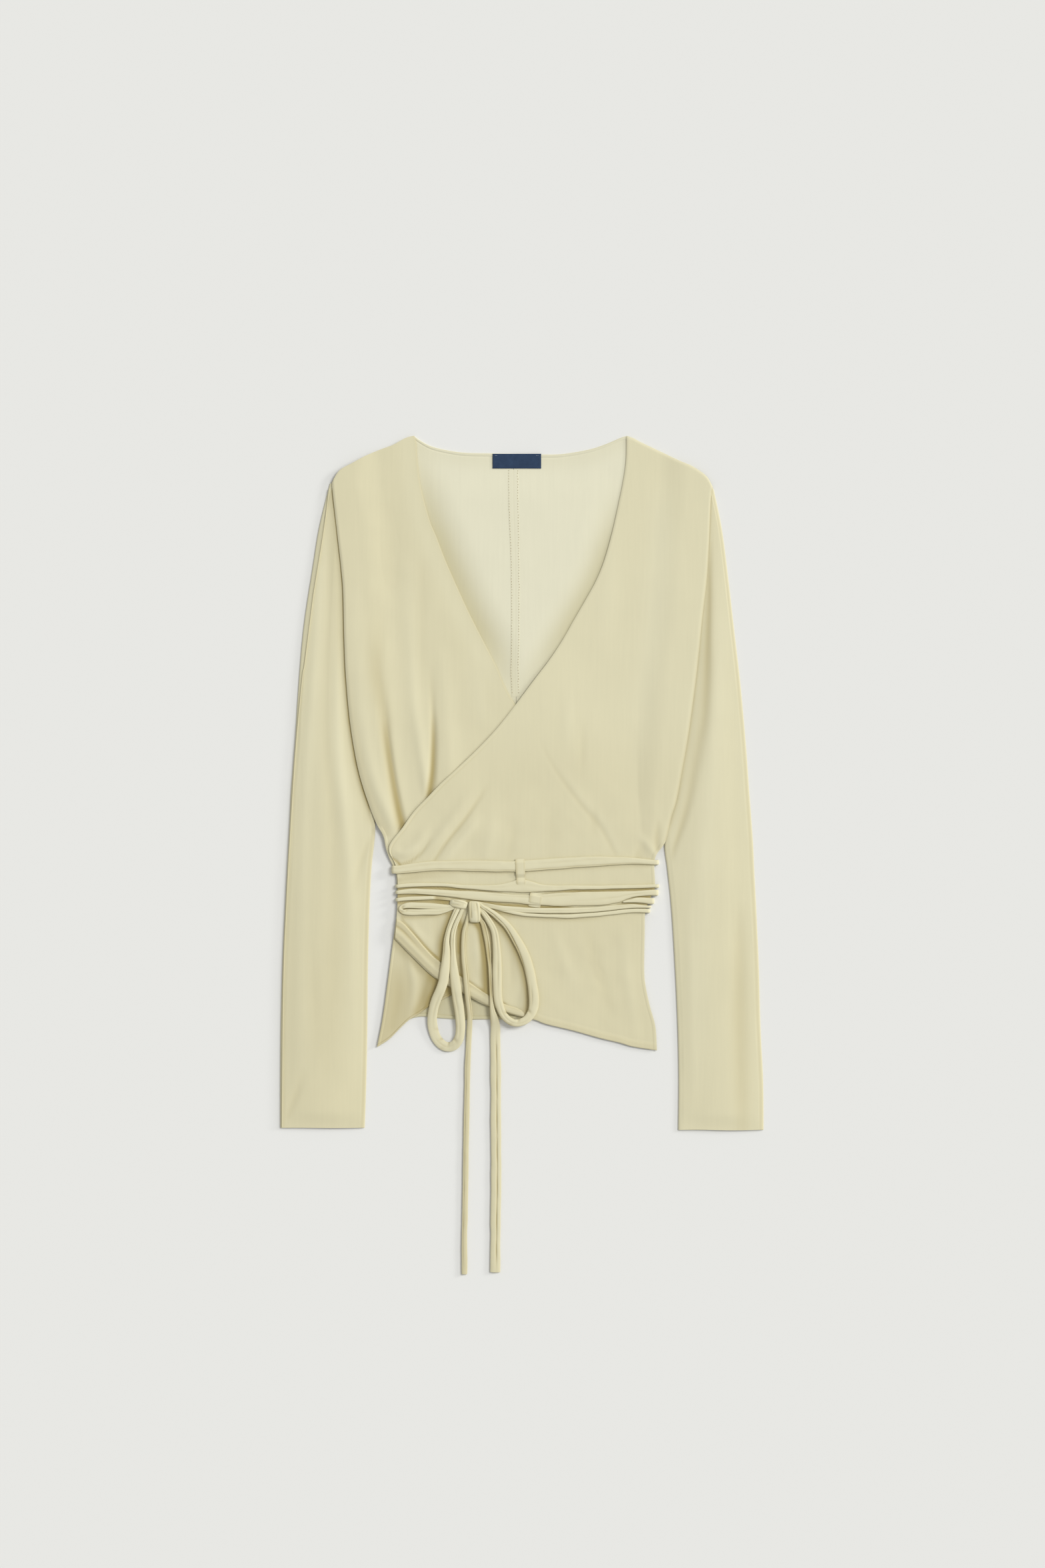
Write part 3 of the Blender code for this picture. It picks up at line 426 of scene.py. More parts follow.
def knit_material(name, colour, shade, across=False):
    """Fine jersey: wales and courses of loops, soft mottling, painted shade where the tone attribute says,
    painted highlight where it is negative.
    """
    made, tree, shader, place = new_material(name, {
        "Roughness": 0.88, "Sheen Weight": 0.12, "Sheen Roughness": 0.6, "Specular IOR Level": 0.2})

    # Wales run along the cloth's length, courses across it
    wale_way, course_way = ("Y", "X") if across else ("X", "Y")
    wales = bands(tree, place, wale_way, 1.0 / (WALE * MM) / WAVE_TURN, 0.35, 6.0)
    courses = bands(tree, place, course_way, 1.0 / (WALE * COURSE * MM) / WAVE_TURN, 0.5)
    loops = worked_out(tree, "MULTIPLY", wales, courses)
    fibres = noise(tree, place, 2600.0, 3.0)
    raise_surface(tree, shader, worked_out(tree, "MULTIPLY_ADD", fibres, 0.5, loops), 0.12, 0.12)

    # Colour: mottled by a few hundredths, darker between loops, painted shade where the tone attribute says
    # and painted highlight where it is negative
    stretch = {"Scale": (20.0, 420.0, 20.0) if across else (420.0, 20.0, 20.0)}
    slub = noise(tree, added(tree, "Mapping", {"Vector": place}, stretch).outputs["Vector"], 1.0)
    mottle = worked_out(tree, "ADD", noise(tree, place, 22.0, 4.0), slub)
    uneven = worked_out(tree, "MULTIPLY", in_range(tree, mottle, 0.972, 1.012, 0.6, 1.4),
                        in_range(tree, loops, 0.955, 1.02))
    tone = added(tree, "Attribute", attribute_name="tone").outputs["Fac"]
    shaded = added(tree, "Mix", {0: tone}, {6: (*colour, 1.0), 7: (*shade, 1.0)}, data_type="RGBA",
                 clamp_factor=False)
    scaled = added(tree, "VectorMath", {0: shaded.outputs[2], "Scale": uneven}, operation="SCALE")
    tree.links.new(scaled.outputs["Vector"], shader.inputs["Base Color"])
    return made


def label_material(name):
    """Navy woven satin label cloth, with fine warp ribs."""
    made, tree, shader, place = new_material(name, {
        "Roughness": 0.7, "Sheen Weight": 0.05, "Specular IOR Level": 0.25})
    warp = bands(tree, place, "X", 800.0, 0.4)
    threads = worked_out(tree, "MAXIMUM", warp, bands(tree, place, "Y", 1100.0))
    raise_surface(tree, shader, threads, 0.35, 0.1)
    cloudy = worked_out(tree, "MULTIPLY", threads, noise(tree, place, 260.0))
    colour_by(tree, shader, cloudy, (0.014, 0.031, 0.070), (0.032, 0.066, 0.134))
    return made


def thread_material(name, colour):
    """Sewing thread, with a fine twist."""
    made, tree, shader, place = new_material(name, {"Roughness": 0.7})
    colour_by(tree, shader, noise(tree, place, 1800.0), [part * 0.8 for part in colour], colour)
    return made


# Cloth colours, each followed by the colour that its painted shade goes towards
JERSEY = (0.735, 0.690, 0.470)
JERSEY_SHADED = (0.540, 0.470, 0.258)
INSIDE = (0.800, 0.775, 0.590)
INSIDE_SHADED = (0.610, 0.560, 0.345)

cloth = knit_material("jersey", JERSEY, JERSEY_SHADED)
cloth_across = knit_material("jersey_across", JERSEY, JERSEY_SHADED, across=True)
cloth_inside = knit_material("jersey_inside", INSIDE, INSIDE_SHADED)
label_cloth = label_material("woven_label")
thread = thread_material("thread", (0.44, 0.37, 0.21))
label_thread = thread_material("label_thread", (0.34, 0.37, 0.42))


# Meshes

def add_mesh(name, points, faces, surface, node_name=None, slot="jersey", tone=None, sharp=50.0):
    """A piece from points in millimetres, riding on the one body, in place of its CAD node if it has one."""
    mesh = bpy.data.meshes.new(name)
    mesh.from_pydata((np.asarray(points) * MM).tolist(), [], faces)
    mesh.materials.append(surface)
    # tone is a painted shade at each point, a painted highlight where negative, which the jersey reads
    if tone is not None:
        layer = mesh.attributes.new("tone", "FLOAT", "POINT")
        layer.data.foreach_set("value", np.asarray(tone, dtype=np.float32).ravel())
    mesh.update()
    mesh.shade_smooth()
    mesh.set_sharp_from_angle(angle=math.radians(sharp))
    made = bpy.data.objects.new(name, mesh)
    bpy.context.scene.collection.objects.link(made)
    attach(made, "root")
    if node_name:
        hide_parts(node_name)
    return made


def grid_faces(rows, columns, first=0, wrap=False, flip=False):
    """Quads of a grid of points, row by row."""
    index = first + np.arange(rows * columns).reshape(rows, columns)
    if wrap:
        index = np.hstack([index, index[:, :1]])
    quads = np.stack([index[:-1, :-1], index[1:, :-1], index[1:, 1:], index[:-1, 1:]], axis=-1)
    quads = quads.reshape(-1, 4)
    return (quads[:, ::-1] if flip else quads).tolist()


def shell(name, top, under, surface, tone=None, **facts):
    """A closed sheet of cloth between a grid of top points and the same grid's underside."""
    rows, columns = top.shape[:2]
    points = np.vstack([top.reshape(-1, 3), under.reshape(-1, 3)])
    count = rows * columns
    faces = grid_faces(rows, columns) + grid_faces(rows, columns, count, flip=True)
    index = np.arange(count).reshape(rows, columns)
    rim = np.concatenate([index[0, :-1], index[:-1, -1], index[-1, :0:-1], index[:0:-1, 0]])
    for first, second in zip(rim.tolist(), np.roll(rim, -1).tolist()):
        faces.append((first, second, second + count, first + count))
    if tone is not None:
        tone = np.concatenate([tone.ravel(), tone.ravel()])
    return add_mesh(name, points, faces, surface, tone=tone, **facts)


def loft(name, rings, surface, tone=None, **facts):
    """A capped skin over closed rings of points."""
    rings = np.asarray(rings)
    rows, columns = rings.shape[:2]
    faces = grid_faces(rows, columns, wrap=True)
    faces.append(tuple(range(columns)))
    faces.append(tuple(range((rows - 1) * columns, rows * columns))[::-1])
    return add_mesh(name, rings.reshape(-1, 3), faces, surface, tone=tone, **facts)


def coons(top, bottom, left, right):
    """A grid stretched between four edges of evenly spaced points."""
    u = np.linspace(0.0, 1.0, len(top))[None, :, None]
    v = np.linspace(0.0, 1.0, len(left))[:, None, None]
    ruled_down = (1 - v) * top[None] + v * bottom[None]
    ruled_across = (1 - u) * left[:, None] + u * right[:, None]
    corners = (1 - v) * ((1 - u) * top[0] + u * top[-1]) + v * ((1 - u) * bottom[0] + u * bottom[-1])
    return ruled_down + ruled_across - corners


def spaced(grid, count):
    """The grid with its columns at fixed distances from both ends of each row, and even between."""
    edge = np.array(EDGE_STEPS)
    inner = count - 2 * len(edge)
    rows = []
    for row in grid:
        total = lengths_along(row)[-1]
        near = edge * min(1.0, total / (4 * edge[-1]))
        middle = np.linspace(near[-1], total - near[-1], inner + 2)[1:-1]
        rows.append(resample(row, np.concatenate([near, middle, total - near[::-1]])))
    return np.stack(rows)


def panel_grid(top, bottom, left, right, step):
    """Plan points of a panel, dense near its edges, and each point's distance from the four edges."""
    fine = coons(top, bottom, left, right)
    across = max(lengths_along(row)[-1] for row in (fine[0], fine[len(fine) // 2], fine[-1]))
    down = max(lengths_along(fine[:, 0])[-1], lengths_along(fine[:, -1])[-1])
    grid = spaced(fine, int(across / step) + 2 * len(EDGE_STEPS))
    grid = spaced(grid.transpose(1, 0, 2), int(down / step) + 2 * len(EDGE_STEPS)).transpose(1, 0, 2)
    along_rows = np.concatenate([np.zeros((grid.shape[0], 1)),
                                 np.cumsum(np.linalg.norm(np.diff(grid, axis=1), axis=2), axis=1)], axis=1)
    along_columns = np.concatenate([np.zeros((1, grid.shape[1])),
                                    np.cumsum(np.linalg.norm(np.diff(grid, axis=0), axis=2), axis=0)])
    return grid, {
        "left": along_rows, "right": along_rows[:, -1:] - along_rows,
        "top": along_columns, "bottom": along_columns[-1:] - along_columns,
    }


def panel(name, edges, step, height, surface, **facts):
    """A cloth panel, laid at its height with a closed underside, and its area in square metres."""
    top, bottom, left, right = edges
    grid, reach = panel_grid(top, bottom, left, right, step)
    x, y = grid[..., 0], grid[..., 1]
    upper, lower, tone = height(x, y, reach)
    top_side = np.stack([x, y, upper], axis=-1)
    made = shell(name, top_side, np.stack([x, y, lower], axis=-1), surface, tone=tone, **facts)
    cells = np.cross(np.diff(top_side, axis=1)[:-1], np.diff(top_side, axis=0)[:, :-1])
    return made, float(np.linalg.norm(cells, axis=-1).sum()) * MM * MM


# Camera, as the photograph was taken: from straight above

PHOTO_CENTRE = (0.5, -0.8)
PHOTO_HEIGHT = 1470.0
CAMERA_HEIGHT = 4.2
SENSOR = 36.0


def add_camera():
    """The camera above the middle of the photograph, with its field of view."""
    data = bpy.data.cameras.new("camera")
    data.sensor_fit = "VERTICAL"
    data.sensor_height = SENSOR
    data.lens = SENSOR * CAMERA_HEIGHT / (PHOTO_HEIGHT * MM)
    data.clip_end = 50.0
    made = bpy.data.objects.new("camera", data)
    made.location = (PHOTO_CENTRE[0] * MM, PHOTO_CENTRE[1] * MM, CAMERA_HEIGHT)
    bpy.context.scene.collection.objects.link(made)
    bpy.context.scene.camera = made


add_camera()


# Ties

LIGHT_SIDE = (0.84, 0.54)   # the direction in plan that the light comes from
PINCH_SLANT = 1.6           # how far along the strip a pinch runs from its middle to the strip's edge
PINCH_REACH = 0.7           # and how far across, as a share of the half width
# painted shade in a pinch, for each millimetre of its depth
PINCH_SHADE = 0.9
RAISED = (2.0, 4.0)         # heights between which a strip changes from lying flat to standing full


def section_points(count, flatness=2.6):
    """A closed section with rounded edges: share of the half width and of the half thickness."""
    angle = np.linspace(0.0, 2 * math.pi, count, endpoint=False)
    power = 2.0 / flatness
    across = np.sign(np.cos(angle)) * np.abs(np.cos(angle)) ** power
    level = np.sign(np.sin(angle)) * np.abs(np.sin(angle)) ** (power * 1.1)
    return across, level


def headings(stations):
    """Direction in plan at each station, or a neighbour's where the strand runs straight down."""
    before = np.vstack([stations[:1], stations[:-1]])
    after = np.vstack([stations[1:], stations[-1:]])
    run = (after - before)[:, :2]
    flat = np.linalg.norm(run, axis=1)
    known = np.nonzero(flat > LEAST_PLAN_STEP)[0]
    nearest = known[np.abs(known[None, :] - np.arange(len(stations))[:, None]).argmin(axis=1)]
    direction = run[nearest] / flat[nearest][:, None]
    slope = np.arctan2((after - before)[:, 2], flat)
    return direction, slope


def strand_rings(stations, creases=(), flatness=2.6, base_tone=0.0, pinches=()):
    """Rings of a folded strip through stations of (x, y, z, width, thickness), and their painted shade.

    creases are lengthwise: share across from -1 to 1 at the start and at the end, depth, half width as a
    share, and the shares of the length where it begins and ends. pinches run across: share of the length,
    side, depth, width in mm. The strip's left hand is +1.
    """
    direction, slope = headings(stations)
    across, level = section_points(SECTION, flatness)
    run = lengths_along(stations)
    along = run / run[-1]
    normal = np.stack([-direction[:, 1], direction[:, 0], np.zeros(len(stations))], axis=1)
    up = np.column_stack([-direction * np.sin(slope)[:, None], np.cos(slope)])
    lift = level[None, :] * stations[:, 4:5] / 2
    thick = np.minimum(1.0, stations[:, 4:5] / 2.0)
    # Painted shade over the whole strip, then in its creases and pinches
    tone = np.full(lift.shape, base_tone)
    seen = level[None, :] > 0.1
    for start, end, depth, width, begins, ends in creases:
        place = start + (end - start) * np.clip((along - begins) / (ends - begins), 0, 1)
        fade = smooth_step(along, begins - 0.03, begins + 0.05)
        fade = fade * (1 - smooth_step(along, ends - 0.08, ends + 0.02))
        fade = fade * (0.8 + 0.2 * np.sin(run / 5.0 + 3.0 * start))
        dip = bell(across[None, :] - place[:, None], width) * fade[:, None] * seen
        lift -= depth * dip * thick
        tone += SHADE_PER_DEPTH * depth * dip
    for share, side, depth, width in pinches:
        slant = run[:, None] - share * run[-1] - PINCH_SLANT * (across[None, :] - side)
        dip = bell(slant, width) * bell(across[None, :] - side, PINCH_REACH) * seen
        lift -= depth * dip * thick
        tone += PINCH_SHADE * depth * dip
    # Painted shade on the side away from the light and towards both edges, and a little at the lit edge to
    # tone down its light
    away_from_light = -(normal[:, :1] * LIGHT_SIDE[0] + normal[:, 1:2] * LIGHT_SIDE[1]) * across[None, :]
    raised = smooth_step(stations[:, 2:3], *RAISED)
    tone += raised * (0.75 * np.maximum(0.0, away_from_light) ** 2 + 0.25 * np.abs(across[None, :]) ** 6)
    tone += 0.35 * np.maximum(0.0, -away_from_light) ** 4
    lift *= 0.7 + 0.3 * raised
    reach = across[None, :] * stations[:, 3:4] / 2
    rings = stations[:, None, :3] + normal[:, None] * reach[..., None]
    lift += STRIP_LUMPS * unevenness(rings[..., 0], rings[..., 1], 6.0, 21) * (level[None, :] > 0.4) * thick
    rings = rings + up[:, None] * lift[..., None]
    return rings, np.clip(tone, -0.3, 1.3)


def wavy(stations, width_wave, height_wave, length, phase=0.0):
    """Stations with a little unevenness in width, height and course, as a strip of cloth has."""
    along = lengths_along(stations)
    stations = stations.copy()
    wave = np.sin(along / length * 2 * math.pi + phase) + 0.6 * np.sin(along / length * 4.7 + 1.3 * phase)
    ripple = unevenness(along, np.zeros(len(along)), 9.0, 31)
    stations[:, 3] *= 1.0 + width_wave * (wave + 1.6 * ripple)
    stations[:, 2] += height_wave * (wave + 1.0)
    stations[:, :2] += COURSE_RIPPLE * unevenness(stations[:, 0], stations[:, 1], 13.0, 32)[:, None]
    return stations


def rounded_ends(stations, steps=3, reach=0.5):
    """Stations with a few more at both ends, where the section closes in."""
    closings = []
    for end, neighbour in ((stations[0], stations[1]), (stations[-1], stations[-2])):
        beyond = end[:3] - neighbour[:3]
        beyond = beyond / np.linalg.norm(beyond)
        closing = []
        for index in range(steps):
            station = end.copy()
            station[:3] += beyond * (reach * (1.0 - index / steps))
            station[3:] *= math.sin(math.pi / 2 * (index + 0.35) / steps) ** 0.5
            closing.append(station)
        closings.append(closing)
    head, tail = closings
    return np.vstack([head, stations, tail[::-1]])


def strand(name, rows, count, surface, node_name, creases=(), wave=(0.0, 0.0, 40.0), **facts):
    """A strip of the tie along rows of stations, a little uneven, with rounded ends."""
    stations = rounded_ends(wavy(curve(rows, count), *wave))
    rings, tone = strand_rings(stations, creases, **facts)
    return loft(name, rings, surface, tone=tone.ravel(), node_name=node_name), stations


def free_cord(name, rows, count, node_name, creases, tuck_start=(), tuck_end=(),
              base_tone=0.0, pinches=()):
    """A free strip of the bow; its tucked ends run in under the knot."""
    route = [(x, y, under + BOW_STRIP / 2, width, BOW_STRIP) for x, y, under, width in rows]
    route = [*tuck_start, *route, *tuck_end]
    made, stations = strand(name, route, count, cloth, node_name, creases, (0.02, 0.05, 46.0), flatness=2.4,
                            base_tone=base_tone, pinches=pinches)
    path = [[float(value) * MM for value in station[:3]] for station in stations[::4]]
    path.append([float(value) * MM for value in stations[-1][:3]])
    return made


# The bow. Tucks are where a strip runs in under the knot: x, y, z, width, thickness
# Each strip also takes a painted shade over its whole length, most on the tie ends
free_cord("loop_left", BOW_LOOP_LEFT, 260, "bow_loop_left",
          creases=[(-0.25, -0.8, 0.7, 0.12, 0.0, 0.22), (0.35, 0.1, 0.3, 0.2, 0.30, 0.44),
                   (-0.2, 0.3, 0.5, 0.12, 0.46, 0.54), (0.1, 0.5, 0.35, 0.16, 0.55, 0.76),
                   (0.2, -0.5, 0.6, 0.14, 0.80, 1.0)],
          tuck_start=[(-57.6, -112.5, 5.0, 3.0, 0.8), (-59.6, -116.2, 5.1, 4.6, 1.8)],
          tuck_end=[(-55.6, -117.6, 5.1, 3.8, 1.8), (-54.8, -113.4, 5.0, 3.0, 0.8)], base_tone=0.06,
          pinches=[(0.47, 0.8, 0.6, 1.3), (0.51, 0.9, 0.7, 1.2), (0.545, 0.7, 0.5, 1.6),
                   (0.43, 0.8, 0.35, 1.6), (0.49, -0.8, 0.3, 1.4)])
free_cord("loop_right", BOW_LOOP_RIGHT, 240, "bow_loop_right",
          creases=[(0.35, 0.1, 0.4, 0.16, 0.0, 0.35), (0.2, -0.3, 0.4, 0.14, 0.36, 0.52),
                   (0.5, 0.2, 0.4, 0.12, 0.54, 0.66), (0.9, 0.05, 0.95, 0.11, 0.70, 1.0)],
          tuck_start=[(-40.4, -117.0, 5.0, 3.0, 0.8), (-36.4, -121.0, 5.1, 4.6, 2.0)],
          tuck_end=[(-39.6, -113.4, 5.1, 3.4, 1.8), (-42.6, -112.0, 5.0, 2.6, 0.8)], base_tone=0.10,
          pinches=[(0.40, 0.8, 0.5, 1.5), (0.47, 0.9, 0.6, 1.2), (0.53, 0.8, 0.6, 1.4),
                   (0.44, -0.8, 0.3, 1.2)])
free_cord("end_left", TIE_END_LEFT, 260, "tie_end_left",
          creases=[(0.55, 0.5, 0.5, 0.14, 0.0, 0.35), (-0.45, -0.5, 0.5, 0.13, 0.38, 0.99)],
          tuck_start=[(-48.6, -117.0, 4.8, 2.4, 0.8), (-50.4, -124.0, 4.9, 3.0, 1.6)], base_tone=0.45)
free_cord("end_right", TIE_END_RIGHT, 260, "tie_end_right",
          creases=[(0.0, 0.0, 0.9, 0.9, 0.0, 0.27), (0.3, 0.3, 0.5, 0.16, 0.02, 0.3),
                   (0.15, 0.22, 1.0, 0.10, 0.34, 1.0)],
          tuck_start=[(-40.6, -124.0, 4.8, 2.6, 0.8), (-38.4, -128.6, 4.9, 3.4, 1.6)], base_tone=0.16)


def side_reach(side, y, width, outward):
    """The outermost x of a front's side within the width of a strand."""
    table = by_y(curve(side, 160))
    reaches = [read(table, y + width * share, 1) for share in (-0.5, 0, 0.5)]
    return max(reaches) if outward > 0 else min(reaches)


def turn_over(side, row, middle, outward):
    """Stations of a strand that turns down over the side, from the surface up to the front."""
    y, width = row[1:]
    turn_out = TURN_OUT_RIGHT if outward > 0 else TURN_OUT_LEFT
    centre_x = side_reach(side, y, width, outward) + outward * (turn_out - TURN_RADIUS)
    stations = [(centre_x + outward * TURN_RADIUS, y, 0.05, width, TIE_STRIP)]
    for step in range(9):
        angle = math.radians(90 * step / 8)
        stations.append((centre_x + outward * TURN_RADIUS * math.cos(angle), y,
                         middle - TURN_RADIUS + TURN_RADIUS * math.sin(angle), width, TIE_STRIP))
    return stations


def waist_strand(name, rows, count, left_turn, right_turn, node_name, creases=(), wave=(0.02, 0.05, 60.0),
                 tuck_start=(), tuck_end=()):
    """A strand of the tie across the fronts, turned down over the side where it goes round the back."""
    middle = ON_FRONTS + TIE_STRIP / 2
    route = [(x, y, middle, width, TIE_STRIP) for x, y, width in rows]
    stations = wavy(curve([*tuck_start, *route, *tuck_end], count), *wave)
    if left_turn:
        turn = turn_over(SIDE_LEFT, rows[0], middle, -1)
        stations = np.vstack([turn, stations[stations[:, 0] > turn[-1][0] + TURN_RADIUS / 2]])
    else:
        stations = rounded_ends(stations)[:len(stations) + 3]
    if right_turn:
        turn = turn_over(SIDE_RIGHT, rows[-1], middle, 1)
        stations = np.vstack([stations[stations[:, 0] < turn[-1][0] - TURN_RADIUS / 2], turn[::-1]])
    else:
        stations = rounded_ends(stations)[3:]
    rings, tone = strand_rings(stations, creases, flatness=2.7)
    return loft(name, rings, cloth_across, tone=tone.ravel(), node_name=node_name)


waist_strand("waist_upper", TIE_UPPER, 220, True, True, "tie_upper",
             [(-0.72, -0.78, 0.4, 0.10, 0.02, 0.95), (0.3, 0.5, 0.2, 0.25, 0.0, 0.4),
              (0.2, 0.55, 0.15, 0.2, 0.55, 0.9)])
waist_strand("waist_middle", TIE_MIDDLE, 230, True, True, "tie_middle", [(0.2, 0.3, 0.15, 0.3, 0.3, 0.7)])
waist_strand("waist_lower", TIE_LOWER, 240, True, True, "tie_lower",
             [(-0.5, -0.2, 0.3, 0.16, 0.02, 0.3), (0.5, 0.62, 0.25, 0.14, 0.35, 0.7),
              (-0.2, 0.1, 0.35, 0.12, 0.68, 0.98)])
waist_strand("waist_split", TIE_SPLIT, 40, False, True, "tie_split")
waist_strand("waist_right_upper", STRAND_RIGHT_UPPER, 150, False, True, "tie_right_upper",
             [(0.2, 0.0, 0.5, 0.9, 0.0, 0.14), (-0.3, 0.3, 0.25, 0.2, 0.1, 0.9)],
             tuck_start=[(-42, -112.0, 4.3, 3.0, 1.0), (-33, -114.2, 4.6, 3.8, 1.7)])
waist_strand("waist_right_lower", STRAND_RIGHT_LOWER, 130, False, True, "tie_right_lower",
             tuck_start=[(-26, -116.8, 4.3, 2.4, 1.0), (-14, -119.8, 4.5, 2.8, 1.5)])
waist_strand("waist_left", STRAND_LEFT, 60, True, False, "tie_left", [(0.0, 0.0, 1.0, 1.6, 0.66, 1.3)],
             tuck_end=[(-63.5, -110.0, 4.4, 2.0, 1.0)])
turn_route = [(x, y, ON_FRONTS + TIE_STRIP / 2, width * 1.16, TIE_STRIP) for x, y, width in TURN_LEFT]
turn_route = [(-61.0, -114.4, 4.6, 3.0, 1.0), *turn_route, (-61.0, -115.4, 4.4, 3.0, 1.0)]
strand("waist_turn", turn_route, 150, cloth_across, "tie_turn",
       [(0.2, 0.5, 0.3, 0.2, 0.05, 0.42), (0.4, -0.3, 0.3, 0.2, 0.55, 0.95)], (0.03, 0.05, 40.0),
       flatness=3.0, pinches=[(0.475, 0.2, 0.8, 2.2), (0.52, -0.3, 0.7, 2.0), (0.56, 0.6, 0.4, 1.2)])

# Knot: a wrap on the left and a band over the bow
KNOT_FULLNESS = 0.92
for knot_name, knot_rows, knot_node, knot_cloth, knot_creases in (
        ("knot_side", KNOT_WRAP, "knot_wrap", cloth_across,
         [(-0.45, -0.1, 0.6, 0.14, 0.1, 0.8), (0.55, 0.35, 0.5, 0.14, 0.2, 0.95)]),
        ("knot_front", KNOT_BAND, "knot_band", cloth,
         [(-0.5, -0.62, 0.6, 0.11, 0.02, 0.8), (0.05, -0.1, 0.3, 0.16, 0.0, 0.5),
          (0.4, 0.62, 0.6, 0.12, 0.1, 0.98)])):
    knot_route = [(x, y, under + thick * 0.42, width * KNOT_FULLNESS, thick * 0.84)
                  for x, y, under, width, thick in knot_rows]
    strand(knot_name, knot_route, 50, knot_cloth, knot_node, knot_creases, (0.01, 0.0, 14.0), flatness=3.2)

# Turned band along the over front's lower diagonal, from the side to the loop on the right
BAND_UPPER = [(-117.2, -127.4), (-110.8, -131.2), (-102.0, -140.8), (-89.5, -155.6), (-78.9, -165.6),
              (-52.0, -184.6), (-33.3, -197.3), (-16.4, -206.8), (-6, -210.2), (-0.6, -212.8)]
BAND_LOWER = [(-119.0, -145.6), (-100.7, -163.9), (-79.2, -183.4), (-49.8, -199.4), (-30.8, -208.9),
              (-12.0, -215.6), (-0.6, -218.8)]
BAND_RISE = 1.0


def band_height(x, y, reach):
    """The band's top: rolled edges, a soft fold along it, and slight pulls across."""
    edge = np.minimum(reach["top"], reach["bottom"])
    width = reach["top"] + reach["bottom"]
    top = ON_FRONTS + BAND_RISE * np.sqrt(np.clip(edge / 1.6, 0.0, 1.0)) + 0.12 * unevenness(x, y, 9.0, 12)
    # Painted shade in the fold, which also sinks the band a little
    fold_shade = 0.45 * bell(reach["top"] - 0.36 * width, 1.4)
    fold_shade *= 1.0 - smooth_step(x, -112.0, -92.0)
    ridge = bell(reach["top"] - 0.62 * width, 3.0)
    top += 0.45 * ridge - 0.5 * fold_shade
    # Tone: painted shade over the band and in its fold, painted highlight on its ridge
    return top, np.full(x.shape, ON_FRONTS - 0.15), fold_shade + 0.58 - 0.24 * ridge


panel("edge_band",
      (curve(BAND_UPPER, FINE), curve(BAND_LOWER, FINE), curve([BAND_UPPER[0], BAND_LOWER[0]], FINE),
       curve([BAND_UPPER[-1], (2.0, -215.6), (1.8, -217.8), BAND_LOWER[-1]], FINE)),
      0.9, band_height, cloth_across, node_name="front_edge_band")


def belt_loop(name, sizes, node_name, lean, run_on=0.0):
    """A narrow loop of folded cloth, sewn to the front, lying over a strand of the tie."""
    x, top, bottom, width = sizes
    over = ON_FRONTS + TIE_STRIP - 0.12 + BELT_LOOP_STRIP / 2
    low = ON_FRONTS + BELT_LOOP_STRIP / 2
    route = []
    for share in np.linspace(0.0, 1.0, 25):
        y = top + (bottom - run_on - top) * share
        up = smooth_step(top - y, 0.0, 3.4) * smooth_step(y - bottom, 0.0, 4.6)
        if run_on:
            up += smooth_step(bottom - y, -0.5, 3.5) - 0.3 * smooth_step(share, 0.82, 1.0)
        fade = 1.0 - 0.45 * smooth_step(share, 0.75, 1.0) * (run_on > 0)
        route.append((x + lean * (share - 0.5), y, low + (over - low) * up, width * (0.72 + 0.28 * fade),
                      BELT_LOOP_STRIP * fade))
    # Its edge creases and an even tone over it are painted shade
    strand(name, route, 70, cloth, node_name,
           [(-0.78, -0.78, 0.2, 0.06, 0.05, 0.95), (0.78, 0.78, 0.2, 0.06, 0.05, 0.95)], (0.02, 0.0, 20.0),
           flatness=4.0, base_tone=0.08)


belt_loop("loop_upper", BELT_LOOP_UPPER, "belt_loop_upper", 1.0, 8.0)
belt_loop("loop_lower", BELT_LOOP_LOWER, "belt_loop_lower", -1.8)


# Fronts, back and sleeves

def sleeve_lift(x, y, sleeve, crotch, side):
    """1 where a front lies on the tucked edge of the sleeve, 0 where it is down on the back."""
    inward = (read(sleeve, y, 2) - x) * side
    across = 1.0 - smooth_step(inward, LIFT_NEAR, LIFT_FAR)
    return across * smooth_step(y, crotch - LIFT_FAR, crotch - LIFT_NEAR)
